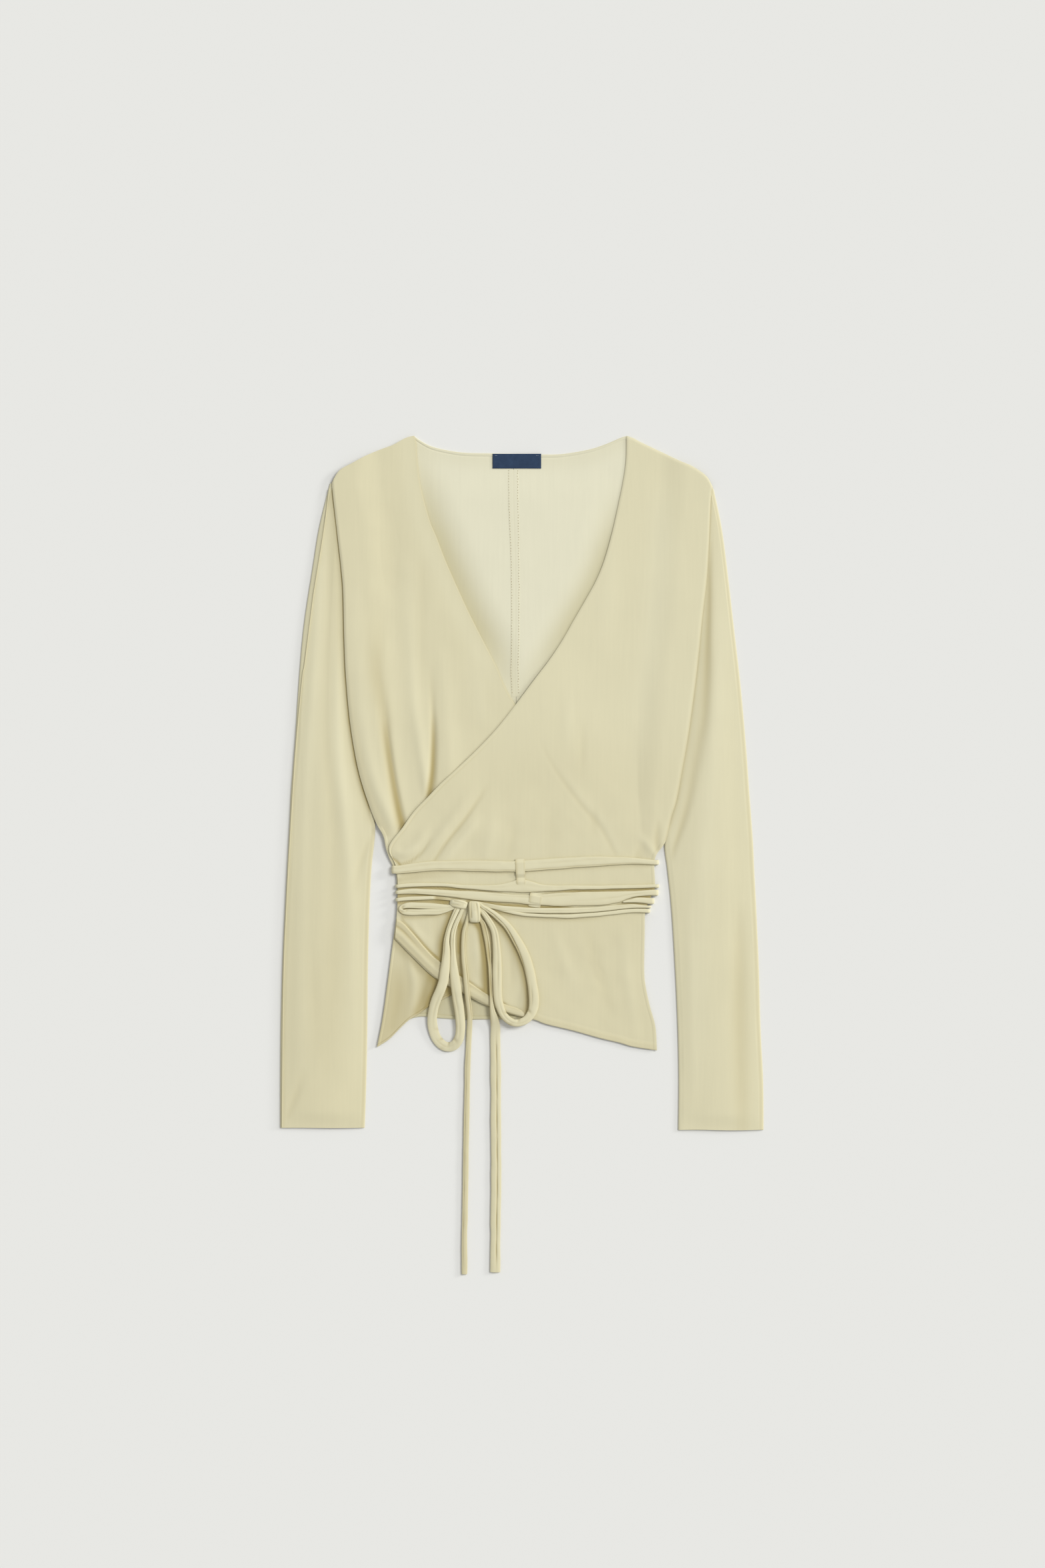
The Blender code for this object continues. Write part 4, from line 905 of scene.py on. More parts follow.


# Folds: rows of x, y, half width, height and tone (painted shade, or painted highlight where negative), then
# what multiplies the half width on the viewer's left
FOLDS_UNDER = [
    # soft ridge inside the fold edge
    ([(-160, 230, 9, 0, 0), (-158, 172, 9, 0.3, -0.05), (-155, 122, 9, 0.5, -0.08),
      (-151.5, 72, 8, 0.6, -0.08), (-146.5, 40, 7.5, 0.8, -0.08), (-141.5, 15, 7, 0.9, -0.08),
      (-134, -10, 6.5, 1.1, -0.08), (-124, -33, 6, 0.9, -0.06), (-119, -48, 5, 0.3, 0)], 1.0),
    # first valley, wide and faint above, dark and narrow where it meets the over front
    ([(-133, 190, 10, 0, 0), (-135, 150, 8, -0.2, 0.08), (-136, 109, 6, -0.5, 0.34),
      (-132.4, 84, 5.5, -0.7, 0.40), (-128.4, 62, 4.5, -1.0, 0.48), (-127, 47, 3.6, -1.3, 0.8),
      (-125.4, 34, 3.2, -1.5, 1.0), (-123.4, 20, 3.0, -1.6, 1.1), (-119.6, -3, 3.0, -1.7, 1.2),
      (-114.6, -28, 3.2, -1.7, 1.4), (-111.2, -41, 3.6, -1.5, 1.5)], 1.5),
    # ridge between the valleys
    ([(-108, 225, 9, 0, 0), (-107, 172, 7, 0.2, -0.06), (-105, 134, 6.5, 0.4, -0.08),
      (-102.6, 97, 6, 0.5, -0.10), (-100.8, 72, 6, 0.6, -0.10), (-97, 47, 6, 0.8, -0.10),
      (-93.3, 22, 5.4, 0.9, -0.10), (-89.8, -2, 4.6, 0.9, -0.08), (-88, -14, 3.4, 0.6, 0)], 1.0),
    # second valley
    ([(-86, 112, 4, 0, 0), (-84.6, 88, 3.4, -0.25, 0.14), (-83.6, 66, 3.0, -0.7, 0.34),
      (-83.2, 54, 3.0, -1.2, 0.75), (-83.2, 34, 3.0, -1.6, 1.2), (-84.2, 10, 3.2, -1.8, 1.4),
      (-86.4, -8, 3.8, -1.8, 1.5), (-88, -20, 3.4, -1.5, 1.5)], 0.8),
    # broad swell to the right of it
    ([(-76, 135, 7, 0, 0), (-75, 109, 7, 0.3, -0.03), (-71.5, 72, 8, 0.6, -0.04), (-69, 40, 9, 0.8, -0.04),
      (-68, 15, 8, 0.6, -0.02), (-68, 4, 6, 0.2, 0)], 1.0),
    ([(-95, 215, 5, 0, 0), (-94.5, 197, 5, -0.1, 0.04), (-94, 150, 5, -0.15, 0.05),
      (-93.6, 109, 5, -0.1, 0.04), (-92, 70, 5, 0, 0)], 1.0),
    ([(-50, 130, 9, 0, 0), (-44, 96, 9, 0.2, -0.08), (-40, 70, 8, 0.2, -0.08), (-40, 50, 7, 0, 0)], 1.0),
    ([(-128, 285, 12, 0, 0), (-126, 240, 12, -0.5, 0.05), (-124, 200, 12, -0.5, 0.06),
      (-124, 165, 10, 0, 0)], 1.0),
    # the flap's folds
    ([(-108, -156, 3, 0, 0), (-104, -172, 4, 0.6, -0.22), (-100.5, -188, 4.4, 0.7, -0.3),
      (-103, -208, 4.4, 0.5, -0.2), (-108, -222, 4, 0.1, 0)], 1.0),
    ([(-118, -170, 5, 0, 0), (-117, -200, 5, -0.3, 0.16), (-122, -228, 5, -0.2, 0.1)], 1.0),
    # deep shade between the turned band and the bow
    ([(-80, -164, 4, 0, 0.3), (-85, -178, 4, 0, 0.4), (-92, -200, 4, 0, 0.5), (-98, -214, 4, 0, 0.5)], 1.0),
    ([(-56, -202, 5, 0, 0.5), (-44, -207, 5, 0, 0.8), (-34, -211, 4, 0, 0.7)], 1.0),
    ([(-72, -190, 4, 0, 0.4), (-68, -196, 4, 0, 0.5)], 1.0),
]
FOLDS_OVER = [
    # tucked corner of the wrap at the left of the waist
    ([(-125, -69.5, 1.2, 0, 0.3), (-119.5, -71.6, 1.2, -1.0, 0.9), (-115.5, -75, 1.3, -1.0, 1.0),
      (-113.5, -77.5, 1.0, 0, 0.4)], 1.0),
    # first crease from it, with the cloth above bulging over it
    ([(-114.5, -76.6, 1.3, -0.6, 0.8), (-107, -74.4, 1.3, -0.9, 0.7), (-101, -71.2, 1.3, -0.9, 0.62),
      (-94, -65, 1.3, -0.7, 0.45), (-88, -57, 1.3, -0.3, 0.25), (-84, -50, 2, 0, 0)], 1.0),
    ([(-121, -64, 4, 0.2, 0), (-112, -66, 4, 1.2, -0.06), (-103, -62, 5, 1.3, -0.1),
      (-96, -55, 5, 1.0, -0.06), (-90, -44, 5, 0.4, 0), (-86, -36, 5, 0, 0)], 1.0),
    # second crease, long and soft
    ([(-86, -76, 1.6, -0.3, 0.3), (-81.5, -72, 1.7, -0.7, 0.42), (-73, -59, 1.7, -0.8, 0.48),
      (-64, -47.5, 1.8, -0.8, 0.48), (-54, -35, 2.0, -0.7, 0.42), (-45, -22, 2.2, -0.5, 0.28),
      (-36, -8, 3, -0.2, 0.1), (-30, 2, 4, 0, 0)], 0.8),
    ([(-94, -66, 4, 0.3, 0), (-82, -56, 5, 1.1, -0.04), (-70, -40, 5.5, 1.1, -0.04),
      (-58, -24, 5.5, 0.8, 0), (-46, -8, 6, 0.2, 0), (-40, 0, 6, 0, 0)], 1.0),
    ([(-72, -72, 5, 0.4, -0.1), (-60, -56, 4.5, 0.7, -0.12), (-48, -42, 4.5, 0.6, -0.1),
      (-38, -28, 5, 0, 0)], 1.0),
    # the under front's edge showing faintly through: a shallow trough with painted shade and a ridge with
    # painted highlight
    ([(15.5, 44, 2, 0, 0), (29.3, 15.5, 2, -0.15, 0.08), (54, -19, 2.2, -0.25, 0.12),
      (73, -41, 2.4, -0.25, 0.12), (86.8, -66, 2.4, -0.15, 0.10)], 1.0),
    ([(34, 18, 4, 0, 0), (58, -16, 4, 0.12, -0.05), (77, -38, 4, 0.16, -0.06),
      (90, -62, 4, 0.1, -0.04)], 1.0),
    # the waist's right corner
    ([(108, -46, 3.5, 0, 0), (117, -57, 3.5, 0.5, -0.08), (126, -68, 3, 0.4, -0.06)], 1.0),
    ([(128, -34, 3, 0, 0), (126.5, -48, 3, -0.5, 0.24), (126.5, -62, 2.6, -0.6, 0.34)], 1.0),
    ([(112, -54, 4, 0, 0), (110, -64, 4, -0.4, 0.14), (108, -72, 4, -0.4, 0.14)], 1.0),
    # soft verticals
    ([(84, 255, 10, 0, 0), (82, 200, 10, 0.35, -0.05), (78, 150, 10, 0.3, -0.04), (74, 110, 9, 0, 0)], 1.0),
    ([(128, 290, 12, 0, 0), (132, 240, 13, 0.2, -0.14), (128, 180, 14, 0.2, -0.14),
      (120, 110, 14, 0.15, -0.10), (112, 50, 13, 0, -0.04), (106, 0, 12, 0, 0)], 1.0),
    ([(44, 96, 6, 0, 0), (43, 60, 6, 0.3, -0.05), (42, 24, 5, 0, 0)], 1.0),
    ([(57, 62, 4, 0, 0), (56, 30, 4, -0.25, 0.07), (55, 2, 4, 0, 0)], 1.0),
    ([(66, -20, 4, 0, 0), (67, -36, 4, -0.3, 0.1), (66, -52, 4, 0, 0)], 1.0),
    ([(-24, -20, 6, 0, 0), (-28, -44, 6, 0.4, -0.06), (-33, -68, 6, 0.4, -0.05)], 1.0),
    ([(-8, -30, 5, 0, 0), (-10, -50, 5, -0.3, 0.07), (-14, -70, 5, -0.3, 0.07)], 1.0),
    ([(24, -20, 7, 0, 0), (26, -44, 7, -0.3, 0.05), (27, -68, 6, -0.2, 0.04)], 1.0),
    # shade in the gaps between the strands of the tie
    ([(-118, -99.4, 2.5, 0, 1), (-108, -98.6, 2.5, 0, 1.4), (-78, -97.9, 2.5, 0, 1.4),
      (-63, -99.2, 2.5, 0, 1.4), (-42, -100.6, 2.5, 0, 0.9), (-20, -102, 1.9, 0, 0.4)], 1.0),
    ([(22, -102.4, 1.9, 0, 0.4), (45, -101.0, 2.5, 0, 1.2), (72, -100.2, 2.5, 0, 1.4),
      (104, -99.8, 2.5, 0, 1.4), (123, -99.2, 2.5, 0, 1.3)], 1.0),
    ([(-116, -105.4, 2.5, 0, 1.2), (-92, -105.0, 2.5, 0, 1.4), (-78, -107.4, 2.5, 0, 1.4),
      (-70, -110, 2.5, 0, 1.4), (-60, -110, 2.5, 0, 1.4)], 1.0),
    ([(-116, -111.6, 2.5, 0, 1.2), (-92, -111.0, 2.5, 0, 1.2), (-70, -111.6, 2.5, 0, 1.3)], 1.0),
    ([(-112, -118.3, 2.5, 0, 1.2), (-96, -118.2, 2.5, 0, 1.2), (-72, -117.2, 2.5, 0, 1.3)], 1.0),
    ([(-112, -125.4, 2, 0, 0.7), (-96, -125.2, 1.9, 0, 0.6), (-72, -120.4, 2.5, 0, 1.2)], 1.0),
    ([(-50, -109.6, 2.5, 0, 1.3), (-38, -111.4, 2.5, 0, 1.4), (-16, -114.4, 2.5, 0, 1.4),
      (4, -115.4, 2.5, 0, 1.4), (20, -116.2, 2.5, 0, 1.4), (34, -116.2, 2.5, 0, 1.4),
      (46, -115.8, 1.9, 0, 0.6)], 1.0),
    ([(-30, -119.6, 2.5, 0, 1), (-14, -121.2, 2.5, 0, 1), (6, -121.8, 1.9, 0, 0.6),
      (27, -122.4, 1.9, 0, 0.5), (79, -119.6, 1.9, 0, 0.2), (102, -117.6, 1.9, 0, 0.4),
      (116, -117.6, 1.9, 0, 0.6)], 1.0),
    ([(-14, -124.6, 2, 0, 0.3), (27, -127.2, 2, 0, 0.4), (60, -127.0, 2, 0, 0.3),
      (79, -124.8, 2, 0, 0.1)], 1.0),
    ([(90, -113.0, 1.9, 0, 0.4), (100, -113.2, 2.5, 0, 1), (118, -113.6, 2.5, 0, 1.1)], 1.0),
    ([(104, -107.4, 2.5, 0, 1), (112, -106.4, 2.5, 0, 1.4), (122, -105.4, 2.5, 0, 1.3)], 1.0),
    ([(-112, -84.6, 2, 0, 0.6), (-60, -82.8, 2, 0, 0.35), (-10, -83.2, 2, 0, 0.4), (50, -79.6, 2, 0, 0.25),
      (118, -76.8, 2, 0, 0.25)], 1.0),
    ([(-117, -91.0, 2, 0, 0.5), (-98, -88.4, 2, 0, 0.4), (-76, -87.4, 2, 0, 0.2),
      (-60, -87, 2, 0, 0)], 1.0),
    # painted shade below the knot, and above the turned band
    ([(-46, -130, 3.0, 0, 1.2), (-38, -136, 3.4, 0, 1.3), (-36, -150, 3.6, 0, 1.0),
      (-35, -175, 4.0, 0, 0.9), (-34, -200, 4.5, 0, 0.9)], 1.0),
    ([(-60, -124, 2.4, 0, 1.2), (-58.4, -140, 2.2, 0, 1.2), (-58.6, -158, 2.0, 0, 1.0)], 1.0),
    ([(-112, -128.6, 1.3, 0, 0.7), (-101.5, -140, 1.4, 0, 1.0), (-89, -154.6, 1.5, 0, 1.2),
      (-78, -165, 1.6, 0, 1.4), (-52, -184, 1.4, 0, 0.9), (-33, -196.6, 1.4, 0, 0.9),
      (-14, -208, 1.2, 0, 0.8)], 1.0),
    # below the ties
    ([(-104, -132, 3, 0.3, 0), (-97, -142, 4, 0.6, -0.06), (-88, -150, 4, 0.2, 0)], 1.0),
    ([(-80, -128, 5, -0.2, 0.14), (-80, -142, 4, -0.3, 0.2), (-78, -158, 4, -0.2, 0.2)], 1.0),
    ([(-44, -136, 4, 0.3, -0.05), (-43, -150, 5, 0.6, -0.12), (-42, -166, 4.5, 0.4, -0.08),
      (-42, -178, 4, 0.1, 0)], 1.0),
    ([(-44, -186, 4, 0.3, -0.02), (-38, -193, 4, 0.5, -0.08), (-30, -199, 3, 0.2, 0)], 1.0),
    ([(-10, -150, 4, 0, 0), (-10, -166, 4, -0.25, 0.12), (-9, -184, 4, -0.25, 0.1),
      (-8, -196, 4, 0, 0)], 1.0),
    ([(26, -128, 6, 0, 0), (34, -150, 6, 0.3, -0.04), (44, -178, 7, 0.4, -0.05),
      (56, -208, 7, 0.1, 0)], 1.0),
    ([(60, -128, 6, 0, 0), (66, -160, 6, -0.35, 0.08), (76, -192, 6, -0.35, 0.08),
      (84, -224, 6, 0, 0)], 1.0),
    ([(96, -128, 6, 0, 0), (98, -170, 6, 0.4, -0.06), (104, -214, 6, 0.3, -0.05),
      (108, -240, 5, 0, 0)], 1.0),
]


def under_front_base(x, y):
    lift = sleeve_lift(x, y, SLEEVE_LEFT, CROTCH_LEFT, -1)
    return ON_BACK + (ON_SLEEVE - ON_BACK) * lift


def swell(x, y):
    """How far the body of the left front stands up, before its valleys cut into it."""
    in_y = smooth_step(y, -72.0, -38.0) * (1.0 - smooth_step(y, 90.0, 175.0))
    in_x = smooth_step(x - read(by_y(smooth_side_left), y, 1), 0.0, 30.0)
    return 0.75 * in_y * in_x * (1.0 - smooth_step(x + 0.55 * y, -70.0, -25.0))


def under_front(x, y, reach):
    """The left front, on the back and on the left sleeve."""
    base = under_front_base(x, y)
    relief, tone = fold_relief(x, y, FOLDS_UNDER)
    free = smooth_step(read(by_y(smooth_neck_right), y, 1) - x, -16.0, -2.0)
    shown = np.maximum(free * (y > FLAP_TOP), 1.0 - smooth_step(y, -160.0, -146.0))
    # Painted shade just inside the left fold edge
    tone += 0.2 * bell(reach["left"] - 4.0, 5.0) * smooth_step(-y, -130.0, -20.0) * (y > -50.0)
    relief = np.maximum(relief + swell(x, y) * free, LEAST_RELIEF) + 0.10 * unevenness(x, y, 16.0, 5)
    lowest = base + CLOTH + 0.04
    top = np.maximum(base + WALL + relief * shown, lowest)
    top += np.where(y > CROTCH_LEFT, folded(reach["left"], 4.5, 0.8), hem(reach["left"]) * 0.5)
    top += folded(reach["right"], 1.4, 0.22) * (y > FLAP_TOP) + hem(reach["bottom"], 2.6)
    top += folded(reach["top"], 3.0, 0.25)
    # Painted shade in the hem's groove and along the folded neck edge
    tone = tone * shown + groove_shade(reach["bottom"], 2.6) + rim_shade(reach["right"], 0.30) * (y > FLAP_TOP)
    # Painted highlight a little in from the neck edge, high up
    tone -= 0.12 * bell(reach["right"] - 9.0, 9.0) * smooth_step(y, 60.0, 130.0)
    # Painted shade over the whole front, more on the flap, a painted shadow below the over front's hem, and
    # painted shadows beside the bow
    flap = 1.0 - smooth_step(y, -200.0, -130.0)
    tone += 0.12 + 0.52 * flap + 0.5 * bell(path_distance(x, y, HEM_LINE_OVER), 6.0) * (y < -110)
    return top, top - CLOTH, np.minimum(tone + strand_shadow(x, y) * (y < -140.0), MOST_SHADE)


def cover_height(x, y):
    """Where the over front lies on the under front, and how high that is."""
    neck = by_y(NECK_LEFT)
    hem_line = [(-edge_x, edge_y) for edge_x, edge_y in HEM_LEFT]
    beside_neck = 1.0 - smooth_step(x - read(neck, y, 1), COVER_NEAR, COVER_SOFT)
    inside_neck = np.where(y < FLAP_TOP, 1.0, beside_neck)
    inside_hem = smooth_step(y - read(hem_line, -x, 1), -COVER_FAR, -COVER_NEAR)
    return inside_neck * inside_hem


def over_front(x, y, reach):
    """The right front, on the left front, the back and the right sleeve."""
    cover = cover_height(x, y)
    lift = sleeve_lift(x, y, SLEEVE_RIGHT, CROTCH_RIGHT, 1)
    on_left_front = ON_BACK + cover * (under_front_base(x, y) + LAYER - ON_BACK)
    base = np.maximum(on_left_front, ON_BACK + (ON_SLEEVE - ON_BACK) * lift)
    relief, tone = fold_relief(x, y, FOLDS_OVER)
    held = tie_shadow(x, y)
    relief = relief * (1.0 - held) + 0.14 * unevenness(x, y, 11.0, 8) * smooth_step(-y, -40.0, 40.0)
    relief += 0.08 * unevenness(x, y, 26.0, 9)
    above = y > FLAP_TOP
    over_swell = swell(x, y) * above * (1.0 - held)
    top = base + WALL + over_swell + np.maximum(relief, -0.36 - 0.5 * over_swell)
    top += np.where(y > CROTCH_RIGHT, folded(reach["right"], 5.0, 0.5), hem(reach["right"]) * 0.3)
    band = 1.0 - smooth_step(y, 10.0, 75.0)
    neck_edge = hem(reach["left"], 2.8) * band + folded(reach["left"], 2.2, 0.4) * (1.0 - band)
    top += np.where(above, neck_edge, 0.0)
    top += hem(reach["bottom"], 6.4, 0.3) + folded(reach["top"], 3.0, 0.6)
    # Painted shade in the neck hem's groove and along the folded side edge
    tone += groove_shade(reach["left"], 2.8) * band * above + rim_shade(reach["right"], 0.42) * (y > CROTCH_RIGHT)
    # Painted shade along the hem's band, with a painted highlight line at its top
    hem_shade = 0.12 * (1.0 - smooth_step(reach["bottom"], 5.0, 7.0)) - 0.8 * groove_shade(reach["bottom"], 7.2)
    tone += hem_shade * (x > 5.0)
    # Darker where it lies on the under front and towards the waist, and painted shadows beside the bow
    tone += 0.03 * cover + 0.12 * smooth_step(-y, -70.0, 0.0) + 0.06 * smooth_step(-y, 76.0, 130.0)
    tone += strand_shadow(x, y)
    return top, top - CLOTH, np.minimum(tone, MOST_SHADE)


def groove_shade(distance, width):
    """Painted shade in the sewn groove of a turned edge."""
    return 0.28 * bell(distance - width - 0.2, 0.45)


def rim_shade(distance, strength):
    """Painted shade along a folded edge, which tones down the light on its rounding."""
    return strength * bell(distance, 1.3)


def tie_shadow(x, y):
    """1 under the strands at the waist, which press the front flat, and 0 clear of them."""
    return smooth_step(-y, 70.0, 76.0) * (1.0 - smooth_step(-y, 122.0, 130.0))


def strand_shadow(x, y):
    """Painted shadow on the cloth close beside the bow, on the side away from the light."""
    tone = np.zeros(x.shape)
    for rows, strength in ((BOW_LOOP_LEFT[:12], 1.3), (BOW_LOOP_LEFT[19:], 1.0), (BOW_LOOP_RIGHT[:8], 0.7),
                           (BOW_LOOP_RIGHT[9:], 1.1), (TIE_END_LEFT[:6], 1.0), (TIE_END_RIGHT[:9], 1.1)):
        line = curve([(row[0] - row[3] / 2 - 1.0, row[1] - 1.0) for row in rows], 60)
        tone = np.maximum(tone, strength * bell(path_distance(x, y, line), 3.6))
    return tone * (y < -112.0)


def back_rise(x, y):
    """How far the back stands up inside the open neck, away from the fronts' edges."""
    left = path_distance(x, y, smooth_neck_left)
    right = path_distance(x, y, smooth_neck_right)
    inside = smooth_step(left, 0.0, 30.0) * smooth_step(right, 0.0, 30.0)
    opening = (x > read(by_y(smooth_neck_left), y, 1)) & (x < read(by_y(smooth_neck_right), y, 1)) & (y > 80)
    return 1.3 * inside * opening * smooth_step(-y, -300.0, -262.0) + 0.07 * unevenness(x, y, 18.0, 3)


def back_shade(x, y):
    """The deeper tone of the back beside the fronts' neck edges."""
    left = path_distance(x, y, smooth_neck_left)
    right = path_distance(x, y, smooth_neck_right)
    shade = 0.86 * smooth_step(-y, -345.0, -215.0) * bell(left, 16.0)
    shade = np.maximum(shade, 0.74 * smooth_step(-y, -295.0, -200.0) * bell(right, 14.0))
    return shade * (0.35 + 0.65 * smooth_step(y, 88.0, 150.0))


def back_half(x, y, reach):
    """A back half, flat on the surface, its inside up: it falls away under both fronts' neck edges."""
    top = WALL + back_rise(x, y)
    top += (hem(reach["top"], 2.6, 0.25) + hem(reach["bottom"])) * (np.abs(x + 1.5) < 99.0)
    # Tone: painted shade beside the fronts' neck edges; darker along and near the top edge; painted shade in
    # the hem's groove and on what shows below the bow
    tone = 0.06 + back_shade(x, y) + 0.25 * (1.0 - smooth_step(reach["top"], 0.4, 1.6)) * (y > 300)
    tone += 0.14 * (1.0 - smooth_step(reach["top"], 2.0, 22.0)) * (y > 270)
    tone += groove_shade(reach["bottom"], HEM_WIDTH) + 0.75 * (y < -190)
    return np.maximum(top, CLOTH), np.zeros(x.shape), tone


def joined(first, second):
    """Two edges end to end, each with half of the points."""
    half = FINE // 2
    return np.vstack([curve(first, half + 1)[:-1], curve(second, FINE - half)])


smooth_left = curve(SLEEVE_LEFT, SMOOTH_ROWS + 1)
smooth_right = curve(SLEEVE_RIGHT, SMOOTH_ROWS + 1)
smooth_side_left = curve(SIDE_LEFT, 120)
smooth_neck_left = curve(NECK_LEFT[:11], 90)
smooth_neck_right = curve(NECK_RIGHT[:22], 120)
HEM_LINE_OVER = curve(HEM_RIGHT[:7], 40)

corner_left = (SLEEVE_LEFT[0][2] + ARMHOLE_GAP, BACK_CORNER_LEFT_Y)
corner_right = (SLEEVE_RIGHT[0][2] - ARMHOLE_GAP, BACK_CORNER_RIGHT_Y)
back_shoulder_left = [corner_left] + [(x, y - BACK_SHOULDER_INSET) for x, y in SHOULDER_LEFT[2:]]
back_shoulder_right = [(x, y - BACK_SHOULDER_INSET) for x, y in SHOULDER_RIGHT[:-2]] + [corner_right]
back_side_left = [corner_left] + [(row[2] + ARMHOLE_GAP, row[0]) for row in smooth_left
                                  if ARMHOLE_BOTTOM < row[0] < ARMHOLE_TOP] + BACK_SIDE_LEFT_BELOW
back_side_right = [corner_right] + [(row[2] - ARMHOLE_GAP, row[0]) for row in smooth_right
                                    if ARMHOLE_BOTTOM < row[0] < ARMHOLE_TOP] + BACK_SIDE_RIGHT_BELOW
centre = curve(CENTRE_SEAM, FINE)
half_gap = np.array([SEAM / 2, 0.0])

back_left, back_left_area = panel(
    "back_inside_left",
    (joined(back_shoulder_left, BACK_NECK_LEFT), curve(BACK_HEM_LEFT, FINE), curve(back_side_left, FINE),
     centre - half_gap),
    BACK_STEP, back_half, cloth_inside, node_name="back_left", slot="jersey_inside")
back_right, back_right_area = panel(
    "back_inside_right",
    (joined(BACK_NECK_RIGHT, back_shoulder_right), curve(BACK_HEM_RIGHT, FINE), centre + half_gap,
     curve(back_side_right, FINE)),
    BACK_STEP, back_half, cloth_inside, node_name="back_right", slot="jersey_inside")
front_under, front_under_area = panel(
    "front_under",
    (curve(SHOULDER_LEFT, FINE), curve(HEM_LEFT, FINE), curve(SIDE_LEFT, FINE), curve(NECK_LEFT, FINE)),
    PANEL_STEP, under_front, cloth, node_name="front_left")
front_over, front_over_area = panel(
    "front_over",
    (curve(SHOULDER_RIGHT, FINE), curve(HEM_RIGHT, FINE), curve(NECK_RIGHT, FINE), curve(SIDE_RIGHT, FINE)),
    OVER_STEP, over_front, cloth, node_name="front_right")


FOLDS_SLEEVE_LEFT = [
    ([(-181, 250, 5, 0, 0), (-180.5, 197, 5, -0.5, 0.14), (-181.4, 150, 5, -0.5, 0.16),
      (-183.3, 97, 6, -0.5, 0.14), (-184.5, 59, 6, -0.5, 0.14), (-183, 22, 6, -0.5, 0.16),
      (-179, -16, 7, -0.5, 0.14), (-176, -66, 8, -0.5, 0.12), (-177, -140, 9, -0.4, 0.10),
      (-180, -220, 10, -0.4, 0.10), (-183, -290, 9, 0, 0)], 1.0),
    ([(-173, 140, 4, 0, 0), (-173, 97, 4, 0.3, -0.10), (-171, 22, 5, 0.4, -0.12),
      (-166, -30, 6, 0.5, -0.10), (-160, -100, 7, 0.5, -0.10), (-158, -200, 8, 0.4, -0.08),
      (-158, -300, 8, 0, 0)], 1.0),
    ([(-190, 200, 4, 0.2, -0.04), (-196, 100, 5, 0.4, -0.08), (-203, 0, 6, 0.4, -0.08),
      (-207, -120, 7, 0.4, -0.08), (-209, -240, 8, 0.4, -0.06), (-210, -310, 8, 0, 0)], 1.0),
    ([(-140, -46, 3, 0, 0), (-147, -62, 3, -0.4, 0.14), (-154, -84, 4, -0.3, 0.08),
      (-160, -110, 5, 0, 0)], 1.0),
    ([(-196, -150, 6, 0, 0), (-194, -210, 6, -0.3, 0.08), (-192, -270, 6, 0, 0)], 1.0),
    ([(-220, -312, 3, -0.2, 0.1), (-212, -292, 4, -0.4, 0.12), (-204, -266, 5, 0, 0)], 1.0),
]
FOLDS_SLEEVE_RIGHT = [
    # shaded valley beside the fold of the front
    ([(177, 225, 2, 0, 0.1), (176.0, 196, 2.4, -0.2, 0.5), (175.5, 172, 3.0, -0.3, 0.62),
      (174.2, 134, 3.8, -0.4, 0.66), (173.6, 109, 4.6, -0.5, 0.62), (172.4, 84, 4.8, -0.5, 0.55),
      (170.5, 59, 4.8, -0.5, 0.45), (165.5, 34, 5.5, -0.5, 0.34), (160.5, 9, 5.0, -0.5, 0.34),
      (156, -16, 4.2, -0.5, 0.36), (149.3, -41, 3.2, -0.5, 0.42), (143, -60, 2.6, -0.3, 0.35),
      (139, -76, 3, 0, 0)], 1.0),
    ([(185, 180, 6, 0, 0), (184, 120, 7, 0.2, -0.08), (180, 50, 8, 0.2, -0.08), (174, -30, 9, 0.2, -0.10),
      (168, -120, 10, 0.2, -0.10), (168, -220, 10, 0.15, -0.08), (170, -300, 9, 0, 0)], 1.0),
    ([(197, 100, 6, 0, 0), (199, 20, 7, -0.2, 0.02), (200, -80, 8, -0.2, 0.02), (203, -180, 8, -0.2, 0.02),
      (206, -280, 8, 0, 0)], 1.0),
    ([(156, -90, 5, 0, 0), (158, -160, 6, 0.3, -0.06), (160, -260, 6, 0.3, -0.05),
      (160, -315, 5, 0, 0)], 1.0),
    ([(203, -110, 6, 0, 0), (203.5, -155, 7, -0.4, 0.22), (203.5, -210, 8, -0.5, 0.34),
      (205, -280, 8, -0.4, 0.3), (207, -330, 7, -0.2, 0.2)], 1.0),
]
SLEEVE_EDGE_THICK = 2.0
SLEEVE_EDGE = 3.0       # how far in from its outline a sleeve's fold rounds over
EDGE_POINTS = 11


